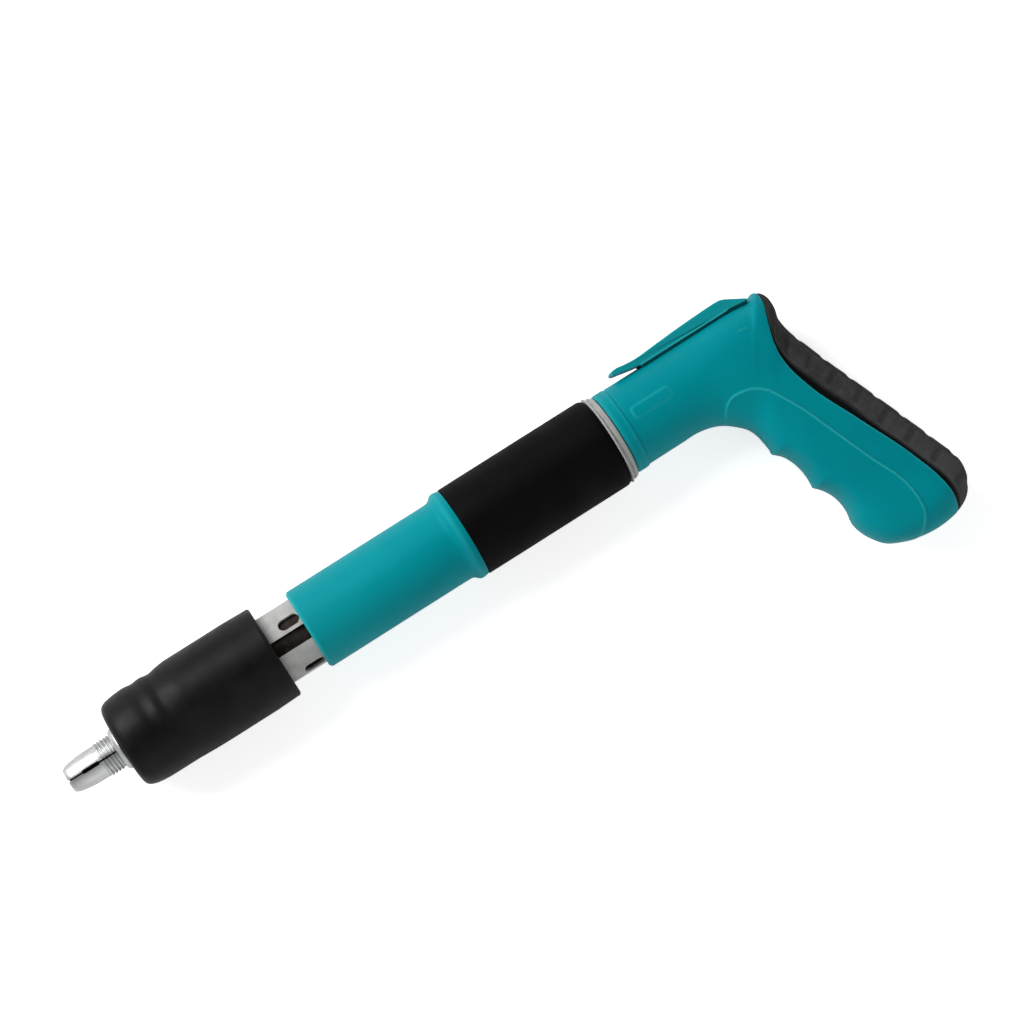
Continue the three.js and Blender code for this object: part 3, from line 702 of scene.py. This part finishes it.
def cutters_for(node):
    if node == "striker":
        return [block("sear_slot", **SEAR_SLOT)]
    holes = PIN_HOLES.get(node, [])
    return [stand(rod("hole", 2 * FAR, radius), ALONG_Z, x, 0, -FAR) for x, radius in holes]


def make_turned_pieces():
    for node, (slot, sides, corners) in TURNED.items():
        piece = turned(f"{node}_fine", rounded(corners), sides)
        cutters = cutters_for(node)
        if cutters:
            combine(piece, cutters, "DIFFERENCE")
        if node == "front_sleeve":
            # A highlight is painted along the front edge and on the flange's crest.
            places = np.array([v.co.x for v in piece.data.vertices])
            lighter = [share * (1 - np.abs(places - x) / SLEEVE_HIGHLIGHT_HALF) for x, share in SLEEVE_HIGHLIGHTS]
            paint(piece, "painted_highlight", np.maximum.reduce(lighter))
        finish_piece(piece, slot, node)


def make_pins():
    for node, x, radius, start, length, slot in PINS:
        corners = [(0, 0), (0, radius, 0.4), (length, radius, 0.4), (length, 0)]
        pin = turned(f"{node}_fine", rounded(corners), 32)
        finish_piece(stand(pin, ALONG_Z, x, 0, start), slot, node)


# ------ springs

SPRINGS = {
    # node: (wire, coil radius, turns, start, end, joint that presses it, its travel, the seat)
    "return_spring": (1.6, 12, 8, 190.4, 228.3, "nose_slide", 16, 228.3),
    "main_spring": (2.6, 12, 10, 258.4, 317.6, "striker_slide", 16, 317.6),
    "pin_spring": (0.9, 4.2, 6, 180.4, 192.6, "drive_pin_slide", 2.5, 180.4),
}
STEPS_PER_TURN = 36
WIRE_SIDES = 12
END_GAP = 0.3       # between a spring's end turn and the next


def coil_points(wire, radius, turns, start, end):
    """The wire's rings of points, with the end turns almost flat against their seats."""
    end_pitch = wire + END_GAP
    open_pitch = (end - start - wire - 2 * end_pitch) / (turns - 2)
    points = []
    for step in range(turns * STEPS_PER_TURN + 1):
        turn = step / STEPS_PER_TURN
        closed = min(turn, 1) + max(turn - turns + 1, 0)
        opened = min(max(turn - 1, 0), turns - 2)
        middle = start + wire / 2 + closed * end_pitch + opened * open_pitch
        out = Vector((0, math.cos(2 * math.pi * turn), math.sin(2 * math.pi * turn)))
        for i in range(WIRE_SIDES):
            angle = 2 * math.pi * i / WIRE_SIDES
            reach = radius + wire / 2 * math.cos(angle)
            points.append((middle + wire / 2 * math.sin(angle), *(out * reach)[1:]))
    return points


def make_springs():
    for node, (wire, radius, turns, start, end, joint, travel, seat) in SPRINGS.items():
        points = coil_points(wire, radius, turns, start, end)
        faces = sweep_faces(len(points) // WIRE_SIDES, WIRE_SIDES)
        spring = new_piece(f"{node}_fine", points, faces)
        finish_piece(spring, "spring_steel", node, sharp_over=60)
        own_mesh(spring)


# ------ handle

SEAM = 0.15         # half the gap between the handle's halves
PAD_THICKNESS = 3
LEDGE = 3.3         # how deep the bed under the backstrap lies
WALL = 2.6
ROW_SPACING = 0.55
GRIP = {"rake": math.radians(67.5), "root": 350, "power": 2.6}

# The collar behind the retaining ring, and (x, how far it drops below its radius) along it.
COLLAR = {"radius": 19.2, "middle": 0.45, "bore": 17.8}
COLLAR_DROPS = [
    (277.8, 0.6), (277.95, 0.3), (278.25, 0.1), (278.7, 0), (279.2, 0), (279.8, 0), (281.6, 0),
    (282.2, 0), (282.7, 0.01), (283.1, 0.06), (283.5, 0.25), (283.8, 0.5),
]
# Where a highlight is painted on the skin beside the backstrap and on the collar, and how strongly.
PAD_EDGE_HIGHLIGHT = {"width": 1.4, "painted_highlight": 0.4}
COLLAR_HIGHLIGHTS = {"places": (279, 282.5), "half": 0.6, "painted_highlight": 0.3}
# Stations round the bend: the point on the back, the one on the finger side, half the width, the
# section's exponent and the wall.
BEND = [
    (284.6, 19.45, 284.6, -18.12, 18.7, 2, 0.9),
    (300, 19.4, 300, -18.05, 18.6, 2, 0.9),
    (318, 19.4, 309.5, -18.1, 18.6, 2.05, 0.9),
    (334, 19.4, 317.5, -20.1, 18.6, 2.15, 1.2),
    (347, 19.3, 323.5, -23.6, 18.6, 2.3, 2.2),
    (353, 18.8, 326, -25.6, 18.5, 2.35, 2.4),
    (357.2, 18.5, 327.8, -27.3, 18.3, 2.4, 2.6),
    (359.2, 19.9, 329, -28.9, 18.2, 2.4, 2.6),
    (361, 20.5, 329.8, -30.4, 18, 2.45, 2.6),
    (363.6, 19.3, 330.6, -32.4, 17.8, 2.5, 2.6),
    (365.6, 16, 331.2, -34.6, 17.6, 2.55, 2.6),
    (365.9, 12, 331.5, -36.4, 17.4, 2.6, 2.6),
    (364.7, 4.6, 331.8, -38.4, 17.1, 2.6, 2.6),
    (365.7, -1.5, 332, -40, 16.9, 2.6, 2.6),
    (369, -10.5, 332.1, -41.5, 16.7, 2.6, 2.6),
]
# Stations down the grip: distance along it, how far behind and ahead of its axis the back and
# the finger side lie, and half the width. CRESTS are the cusps between fingers.
STATIONS = [
    (33.3, 13.1, -33.1, 16.5), (37, 13.2, -31.4, 16.5), (43, 13.1, -30.8, 16.5),
    (51, 13.1, -32.5, 16.5), (55.8, 13, -34.8, 16.5), (59.5, 13, -33.4, 16.5),
    (65, 13, -32.6, 16.5), (73.4, 12.8, -34.5, 16.5), (79, 12.8, -37.7, 16.5),
    (84, 12.6, -38.5, 16.5), (90, 12.5, -37.9, 16.5), (95.5, 12.4, -36.1, 16.4),
    (101.7, 11.1, -30.8, 15.6), (106, 8.6, -25.4, 13.4), (109.6, 4.9, -18.8, 10),
    (112.4, -0.6, -10, 5), (113.1, -5.2, -5.2, 0.05),
]
CRESTS = [(33.3, -33.1), (55.8, -34.8), (84, -38.5)]

# The line where the rubber backstrap meets the shells, from the top down to the grip's end.
PAD_EDGE = [
    (362.4, 24), (362.3, 19.6), (361.5, 15), (359.4, 10), (357, 4), (355.1, -3), (354.6, -9),
    (355.2, -15), (358.2, -25.8), (368.7, -49), (380.2, -74), (385.3, -89), (386.8, -98),
    (385.2, -112), (384.6, -116),
]
# The raised panel's edge: up from the underside, over the first finger and down the grip.
PANEL_EDGE = [
    (319.2, -26), (319.8, -22.5), (321.2, -17.5), (324, -13.8), (326.8, -12.4), (332.3, -12.6),
    (336.6, -13.8), (341.5, -17.3), (346.4, -24.9), (351, -33.6), (355.8, -45.2), (365.3, -68.5),
    (371.2, -82), (372.5, -89.9), (371.6, -99.4), (368.3, -104.4), (364, -108.5), (358, -113),
]
# The panel's step, the bead round it and the highlight painted on that bead, its fading towards the
# seam, and the stretch along X where it grows out of the skin.
PANEL = {
    "height": 0.4, "ramp": 1.1, "bead": 0.3, "bead_at": 0.5, "bead_half": 0.7, "painted_highlight": 0.8,
    "fade": 9, "start": 320, "grow": 8, "faint": 0.45,
}
# The plain moulded rectangle behind the collar, and the highlight painted along its border.
PLAQUE = {
    "middle": (296.3, 3.8), "half": (9.3, 2.6), "corner": 1.3, "height": 0.3, "ramp": 0.8,
    "border": 1, "painted_highlight": 0.26,
}

# The handle's screws: x, y and how far out the boss reaches.
HANDLE_SCREWS = [(346, 6, 16.6), (351, -30, 15.2), (363, -60, 15.2), (374.5, -91, 15.2)]
BOSS_RADIUS = 4.2
# Their holes: where they start, length, radius and sides. Only the right shell is counterbored.
DRILL = (-12, 22, 1.8, 24)
COUNTERBORE = (-40, 28.8, 3.3, 40)

ANGLES = np.linspace(0, math.pi, 361)
GROOVE_START = -0.5     # the cosine, round a section, where the finger grooves begin
# How the skin turns in at a shell's edges: (distance from the edge, inset).
SEAM_TURN = [(0, 0.2), (0.1, 0.08), (0.25, 0.02), (0.5, 0)]
BACK_TURN = [(0.7, 0), (0.3, 0.02), (0.1, 0.08), (0, 0.2)]
PAD_TURN = [(0.7, 0), (0.3, 0.08), (0.1, 0.3), (0, 0.6)]
# Points round each part of a shell's section.
COLUMNS = {"skin": 112, "bed": 14, "turn": 8, "inside": 22}


def grip_point(along, across):
    """Turns a place along and across the grip into x and y."""
    cos, sin = math.cos(GRIP["rake"]), math.sin(GRIP["rake"])
    return GRIP["root"] + along * cos + across * sin, -along * sin + across * cos


def handle_rows():
    """Rows down the whole handle.

    Each holds the back's x, y, the front's x, y, half the width, the exponent, the wall and how
    deep a finger's groove is pressed into the front.
    """
    middle = COLLAR["middle"]
    collar = []
    for x, drop in COLLAR_DROPS:
        radius = COLLAR["radius"] - drop
        wall = radius - COLLAR["bore"]
        collar.append((x, middle + radius, x, middle - radius, radius, 2, wall, 0))
    knots = [(*station, 0) for station in BEND]
    crest_places, crest_fronts = zip(*CRESTS)
    for along, behind, ahead, half in STATIONS:
        front = ahead
        if along < crest_places[-1]:
            front = np.interp(along, crest_places, crest_fronts)
        knots.append((
            *grip_point(along, behind), *grip_point(along, front), half, GRIP["power"], WALL,
            ahead - front,
        ))
    knots = np.array(knots)
    steps = np.diff(knots, axis=0)
    gaps = (np.linalg.norm(steps[:, :2], axis=1) + np.linalg.norm(steps[:, 2:4], axis=1)) / 2
    places = [station[0] for station in STATIONS]
    cusps = [len(BEND) + places.index(place) for place in crest_places[:-1]]
    return np.vstack([collar, flow(knots, ROW_SPACING, gaps, cusps)])


class Section:
    """A rounded section of the handle. Distances run round it from its back to its front."""

    def __init__(self, row):
        self.back, self.front = row[0:2], row[2:4]
        self.middle = (self.back + self.front) / 2
        span = self.back - self.front
        length = np.linalg.norm(span)
        self.across = span / length if length > 1e-6 else np.array([1.0, 0.0])
        self.reach, self.half, self.power, self.wall, self.groove = length / 2, *row[4:8]
        step_u = np.diff(self.reach * self.bend(np.cos(ANGLES)))
        step_z = np.diff(self.half * self.bend(np.sin(ANGLES)))
        self.lengths = np.concatenate([[0], np.cumsum(np.hypot(step_u, step_z))])
        self.total = self.lengths[-1]

    def bend(self, value):
        """Squares off a cosine or sine by the section's exponent."""
        return np.sign(value) * np.abs(value) ** (2 / self.power)

    def points(self, distances, insets):
        """Points at distances round the section, drawn in by insets."""
        insets = np.minimum(insets, 0.8 * min(self.reach, self.half))
        angles = np.interp(distances, self.lengths, ANGLES)
        u = (self.reach - insets) * self.bend(np.cos(angles))
        z = (self.half - insets) * self.bend(np.sin(angles))
        pressed = self.groove * smooth_step((GROOVE_START - np.cos(angles)) / (1 + GROOVE_START))
        xy = self.middle + (u + pressed)[:, None] * self.across
        return np.column_stack([xy, z])

    def pad_reach(self, edge):
        """The distance from the back to where the backstrap ends, 0 where there is none."""
        if self.reach < 0.2:
            return self.total / 2
        side = self.across[0] * (edge[:, 1] - self.middle[1]) - self.across[1] * (
            edge[:, 0] - self.middle[0]
        )
        best = 0.0
        for k in np.nonzero(side[:-1] * side[1:] < 0)[0]:
            t = side[k] / (side[k] - side[k + 1])
            point = edge[k] + t * (edge[k + 1] - edge[k])
            u = float((point - self.middle) @ self.across) / self.reach
            if abs(u) < 1:
                angle = math.acos(math.copysign(abs(u) ** (self.power / 2), u))
                best = max(best, float(np.interp(angle, ANGLES, self.lengths)))
        return best


def inside_panel(points, edge):
    """How far inside the raised panel, to its edge's right, each point lies."""
    starts, ends = edge[:-1], edge[1:]
    along = ends - starts
    away = points[:, None, :2] - starts[None]
    share = np.clip((away * along).sum(2) / (along * along).sum(1), 0, 1)
    gap = np.linalg.norm(away - share[:, :, None] * along, axis=2)
    nearest = gap.argmin(1)
    rows = np.arange(len(points))
    a, b = along[nearest], away[rows, nearest]
    right = np.where(a[:, 0] * b[:, 1] - a[:, 1] * b[:, 0] < 0, 1, -1)
    return right * gap[rows, nearest]


def inside_plaque(points):
    """How far inside the plain rectangle each point lies."""
    corner = PLAQUE["corner"]
    beyond = np.abs(points[:, :2] - PLAQUE["middle"]) - np.array(PLAQUE["half"]) + corner
    past_corner = np.linalg.norm(np.maximum(beyond, 0), axis=1)
    return corner - past_corner - np.minimum(beyond.max(1), 0)


def skin_run(section, pad):
    """Distances round a section for the points of a shell's skin, and how far each is drawn in."""
    skin = section.total - pad
    scale = min(1, skin / 8)
    seam, seam_insets = np.array(SEAM_TURN).T
    edge, edge_insets = np.array(PAD_TURN if pad else BACK_TURN).T
    # Columns near the seam keep their places, and those near the backstrap make room for it.
    share = np.linspace(0, 1, COLUMNS["skin"])
    start, length = 1.2 * scale, skin - 2.6 * scale
    even = min(0.8 * section.total, 1.2 * length)
    run = start + even * share + (length - even) * share**4
    distances = section.total - np.concatenate([seam * scale, run, skin - edge * scale])
    return distances, np.concatenate([seam_insets, np.zeros(len(run)), edge_insets])


def skin_relief(flat, panel_edge, side):
    """How far the panel and the rectangle raise each point of the skin, and its painted highlight.
    """
    inside = inside_panel(flat, panel_edge)
    # Where the edge starts, under the barrel, the panel grows out of the skin.
    grown = smooth_step((flat[:, 0] - PANEL["start"]) / PANEL["grow"])
    above_seam = smooth_step(flat[:, 2] / PANEL["fade"] - 0.3)
    raised = PANEL["height"] * smooth_step(inside / PANEL["ramp"] + 0.5)
    raised *= np.maximum(grown, above_seam)
    bead = smooth_step(1 - np.abs(inside - PANEL["bead_at"]) / PANEL["bead_half"])
    bead *= above_seam * (PANEL["faint"] + (1 - PANEL["faint"]) * grown)
    raised += PANEL["bead"] * bead
    # The bead round the panel and the rectangle's border get a painted highlight.
    painted_highlight = PANEL["painted_highlight"] * bead
    if side > 0:
        inside = inside_plaque(flat)
        raised += PLAQUE["height"] * smooth_step(inside / PLAQUE["ramp"] + 0.5)
        painted_highlight += PLAQUE["painted_highlight"] * smooth_step(1 - np.abs(inside) / PLAQUE["border"])
    return raised, painted_highlight


def shell_ring(section, pad, panel_edge, side):
    """One closed ring of a shell, over its skin, the pad's bed and back inside, and its painted
    highlight.
    """
    distances, insets = skin_run(section, pad)
    flat = section.points(distances, np.zeros(len(distances)))
    raised, pale = skin_relief(flat, panel_edge, side)
    outer = section.points(distances, insets - raised * (insets == 0))
    bed = LEDGE if pad else section.wall / 2
    under = bed + WALL if pad else section.wall
    turn = min(pad + WALL, section.total) if pad else 0
    inner_run = np.concatenate([
        np.linspace(pad, 0, COLUMNS["bed"]),
        np.linspace(0, turn, COLUMNS["turn"]),
        np.linspace(turn, section.total, COLUMNS["inside"]),
    ])
    counts = [COLUMNS["bed"], COLUMNS["turn"], COLUMNS["inside"]]
    inner = section.points(inner_run, np.repeat([bed, under, section.wall], counts))
    ring = np.vstack([outer, inner])
    ring[:, 2] = side * np.maximum(ring[:, 2], SEAM)
    # A highlight is painted on the skin beside the backstrap and along the collar's edges.
    if pad:
        pale += PAD_EDGE_HIGHLIGHT["painted_highlight"] * smooth_step(1 - (distances - pad) / PAD_EDGE_HIGHLIGHT["width"])
    for place in COLLAR_HIGHLIGHTS["places"]:
        gap = np.abs(outer[:, 0] - place) / COLLAR_HIGHLIGHTS["half"]
        pale += COLLAR_HIGHLIGHTS["painted_highlight"] * smooth_step(1 - gap)
    return ring, np.concatenate([pale, np.zeros(len(inner))])


def make_handle_half(node, side, rows):
    pad_edge = flow(PAD_EDGE, 0.5)
    panel_edge = flow(PANEL_EDGE, 0.8)
    sections = [Section(row) for row in rows]
    rings, painted_highlights = zip(*[
        shell_ring(section, section.pad_reach(pad_edge), panel_edge, side) for section in sections
    ])
    faces = sweep_faces(len(rings), len(rings[0]))
    shell = new_piece(f"{node}_fine", np.vstack(rings), faces)
    # The pale lines on the skin are painted highlights.
    paint(shell, "painted_highlight", np.concatenate(painted_highlights))
    holes = [DRILL] if side > 0 else [DRILL, COUNTERBORE]
    bosses = []
    drills = []
    for i, (x, y, top) in enumerate(HANDLE_SCREWS):
        low = SEAM if side > 0 else -top
        boss = rod(f"boss_{i}", top - SEAM, BOSS_RADIUS, 40)
        bosses.append(stand(boss, ALONG_Z, x, y, low))
        for start, *sizes in holes:
            drills.append(stand(rod(f"drill_{i}", *sizes), ALONG_Z, x, y, start))
    combine(shell, bosses, "UNION")
    combine(shell, drills, "DIFFERENCE")
    finish_piece(shell, "cyan_plastic", node)


# ------ backstrap

BLOCK_PITCH = 14
LANE = 9.5          # how far from the pad's middle its middle blocks reach
GROOVE = 0.4        # how deep the grooves between blocks are
PAD_HEEL_PALER = 0.55     # how much paler the rubber is at the heel
PAD_COLUMNS = {"face": 131, "back": 17}
PAD_START = {"length": 1.5, "drop": 0.35}       # the rounding at the pad's top
# The trench beside the shells' edge: (distance from the pad's top, width, depth).
TRENCH = [
    (0, 1.4, 0.7), (10, 2, 1.5), (20, 2.9, 2), (32, 4, 2.3), (42, 4.8, 2.5), (62, 4.6, 2.5),
    (71, 3, 2.3), (80, 2.2, 2.1), (104, 2.2, 2), (114, 3.2, 2), (124, 2.4, 1.5), (132, 1.2, 0.6),
]


def pad_relief(along, across):
    """How far the pad is cut back by the grooves between its blocks."""
    outer_lane = np.abs(across) > LANE
    phase = along / BLOCK_PITCH + np.where(outer_lane, 0.5, 0)
    from_groove = np.abs(phase - np.round(phase)) * BLOCK_PITCH
    groove = smooth_step(1.25 - from_groove / 2)
    lane = smooth_step(1.35 - np.abs(np.abs(across) - LANE) / 0.9)
    return GROOVE * np.maximum(groove, lane)


def pad_ring(section, pad, along, total):
    """One closed ring of the backstrap, over its face and back under it, and its shading."""
    reach = pad - SEAM
    even = np.linspace(-1, 1, PAD_COLUMNS["face"])
    across = reach * even * (1.3 - 0.3 * even**2)
    places, widths, depths = np.array(TRENCH).T
    width = min(np.interp(along, places, widths), 0.5 * reach)
    depth = min(np.interp(along, places, depths), width)
    from_edge = (reach - np.abs(across)) / width
    trench = depth * smooth_step(2.2 - 2.2 * from_edge)
    ends = np.clip(along / 6, 0, 1) * np.clip((total - along) / 10, 0, 1)
    relief = pad_relief(along, across) * np.clip(2 * from_edge - 2, 0, 1) * ends
    start = PAD_START["drop"] * np.clip(1 - along / PAD_START["length"], 0, 1) ** 2
    face = section.points(np.abs(across), trench + relief + start)
    face[:, 2] *= np.sign(across)
    back_across = np.linspace(reach, -reach, PAD_COLUMNS["back"])
    back = section.points(np.abs(back_across), np.full(len(back_across), PAD_THICKNESS))
    back[:, 2] *= np.sign(back_across)
    grooves = 0.3 * relief / GROOVE
    shade = np.maximum(np.minimum(1.2 * trench / max(depth, 0.1), 0.5 * depth), grooves)
    return np.vstack([face, back]), np.concatenate([shade, np.zeros(len(back))])


def make_backstrap(rows):
    edge = flow(PAD_EDGE, 0.5)
    sections = [Section(row) for row in rows]
    reaches = [section.pad_reach(edge) for section in sections]
    first = next(i for i, reach in enumerate(reaches) if reach > 1.2)
    backs = np.array([section.back for section in sections[first:]])
    steps = np.linalg.norm(np.diff(backs, axis=0), axis=1)
    along = np.concatenate([[0], np.cumsum(steps)])
    runs = zip(sections[first:], reaches[first:], along)
    rings, shades = zip(*[pad_ring(*row, along[-1]) for row in runs])
    # The rubber grows paler towards the heel.
    lighter = np.repeat(PAD_HEEL_PALER * along / along[-1], len(rings[0]))
    faces = sweep_faces(len(rings), len(rings[0]))
    strap = new_piece("backstrap_fine", np.vstack(rings), faces)
    paint(strap, "shade", np.concatenate(shades))
    paint(strap, "lighter", lighter)
    finish_piece(strap, "pad_rubber", "backstrap")


# ------ belt clip and fasteners

CLIP_OUTLINE = [
    (289.5, 22.9, 0.9), (290.7, 24.3, 1), (293, 24.45, 1.5), (297, 23.8, 4), (302, 23.4, 3),
    (308, 23.8, 5), (320, 24.75, 6), (336, 25.5, 6), (345.8, 25.7, 2.5), (348.2, 25, 1.5),
    (357.2, 19.95, 0.4), (357.2, 18.8, 0.3), (353, 19.15, 1), (347.5, 19.75, 1),
    (320, 19.75, 4), (306, 19.75, 4), (300, 20.2, 3), (294.5, 21.3, 3), (290.4, 22, 0.8),
]
CLIP_HALF_WIDTH = 7
# A bead along the strap's foot, painted all over with a highlight, (x, y), and how far it stands
# out.
CLIP_BEAD = [(303, 19.85), (347, 19.85), (348, 20.2), (347, 20.5), (303, 20.5), (302, 20.2)]
CLIP_BEAD_TOP = 0.15
# A rib under each side of the strap, which hides the gap below it: (x, y), and its sides' z.
CLIP_RIB = [
    (301, 20.6), (303, 18.8), (345, 18.8), (350, 18.6), (356.9, 18.2), (356.9, 19.1), (349, 20.2),
    (340, 20.6),
]
CLIP_RIB_SIDES = (4.6, 5.4)
CLIP_EDGES = [(0, 0.4), (0.05, 0.24), (0.18, 0.1), (0.4, 0.02), (0.7, 0)]
# The highlight painted on the strap's sides: how strong, and how far in from each side it reaches.
CLIP_SIDE_HIGHLIGHT = {"painted_highlight": 0.25, "width": 0.3}      # how pale the strap's sides are
CLIP_SCREW = {"x": 349.4, "top": 22.8, "floor": 20.2, "head": 3.2, "shank": 2, "foot": 10}
# Each kind of screw: the head's radius and height, the shank's radius and the length.
HANDLE_SCREW_SIZES = (3, 2, 1.5, 22.5)
HANDLE_SCREW_TOP = -13.5
CLIP_SCREW_SIZES = (2.6, 1.4, 1.4, 14.8)


def make_belt_clip():
    outline = np.array([tuple(point) for point in rounded(CLIP_OUTLINE, 8)])
    before, after = np.roll(outline, 1, axis=0), np.roll(outline, -1, axis=0)
    tangents = after - before
    tangents /= np.linalg.norm(tangents, axis=1)[:, None]
    inward = np.column_stack([tangents[:, 1], -tangents[:, 0]])
    levels = [(CLIP_HALF_WIDTH - depth, inset) for depth, inset in CLIP_EDGES]
    middle = [(z, 0) for z in np.linspace(levels[-1][0], -levels[-1][0], 12)[1:-1]]
    levels = [*levels, *middle, *[(-z, inset) for z, inset in reversed(levels)]]
    rings = [
        np.column_stack([outline + inward * inset, np.full(len(outline), z)])
        for z, inset in levels
    ]
    clip = new_piece("belt_clip_fine", np.vstack(rings), sweep_faces(len(rings), len(outline)))
    near, far = CLIP_RIB_SIDES
    ribs = [prism("rib_left", CLIP_RIB, near, far), prism("rib_right", CLIP_RIB, -far, -near)]
    combine(clip, ribs, "UNION")
    x = CLIP_SCREW["x"]
    holes = [
        stand(rod(f"hole_{part}", 20, CLIP_SCREW[part]), ALONG_Y, x, CLIP_SCREW[end], 0)
        for part, end in (("head", "floor"), ("shank", "foot"))
    ]
    combine(clip, holes, "DIFFERENCE")
    # The strap's sides get a faint painted highlight.
    sides = np.abs([v.co.z for v in clip.data.vertices])
    paint(clip, "painted_highlight", CLIP_SIDE_HIGHLIGHT["painted_highlight"] * (sides > CLIP_HALF_WIDTH - CLIP_SIDE_HIGHLIGHT["width"]))
    finish_piece(clip, "cyan_plastic", "belt_clip", sharp_over=12)


def make_clip_beads():
    root, top = CLIP_HALF_WIDTH - 1, CLIP_HALF_WIDTH + CLIP_BEAD_TOP
    for side, low, high in (("left", root, top), ("right", -top, -root)):
        bead = prism(f"belt_clip_bead_{side}", CLIP_BEAD, low, high)
        # Each bead carries the painted highlight along the strap's foot.
        paint(bead, "painted_highlight", np.ones(len(bead.data.vertices)))
        finish_piece(bead, "cyan_plastic", "belt_clip")


def screw(name, head, head_height, shank, length):
    """A screw turned about X, with its head's top at x = 0 and a cross recess in it."""
    dome = 0.35
    corners = [
        (0, 0), (0, head * 0.55, 0.3), (dome, head, dome), (head_height, head, 0.2),
        (head_height, shank, 0.2), (length - 1.5, shank, 0.3), (length, 0.3, 0.2), (length, 0),
    ]
    piece = turned(name, rounded(corners), 48)
    arm, half, depth = head * 0.62, head * 0.14, head_height * 0.6
    recess = [
        block("recess_across", (-1, -arm, -half), (depth, arm, half)),
        block("recess_along", (-1, -half, -arm), (depth, half, arm)),
    ]
    return combine(piece, recess, "DIFFERENCE")


def make_screws():
    for i, (x, y, _) in enumerate(HANDLE_SCREWS, 1):
        piece = screw(f"handle_screw_fine_{i}", *HANDLE_SCREW_SIZES)
        stand(piece, ALONG_Z, x, y, HANDLE_SCREW_TOP)
        finish_piece(piece, "plain_steel", f"handle_screw_{i}")
    piece = screw("clip_screw_fine", *CLIP_SCREW_SIZES)
    piece.data.transform(Matrix.Rotation(math.pi, 4, "Y"))
    stand(piece, ALONG_Y, CLIP_SCREW["x"], CLIP_SCREW["top"], 0)
    finish_piece(piece, "plain_steel", "clip_screw")


def paint_cad_nodes():
    """Gives the CAD pieces that stay their finish."""
    for node, slot in (("sear_plate", "dark_steel"), ("sear_spring", "spring_steel")):
        piece = frame["nodes"][node]
        piece.data.materials.clear()
        piece.data.materials.append(MATERIALS[slot])


add_camera()
add_lights()
add_surround()
add_floor()
make_collet_nozzle()
make_front_cover()
make_slide_tube()
make_turned_pieces()
make_pins()
make_springs()
ROWS = handle_rows()
make_handle_half("handle_left", 1, ROWS)
make_handle_half("handle_right", -1, ROWS)
make_backstrap(ROWS)
make_belt_clip()
make_clip_beads()
make_screws()
paint_cad_nodes()
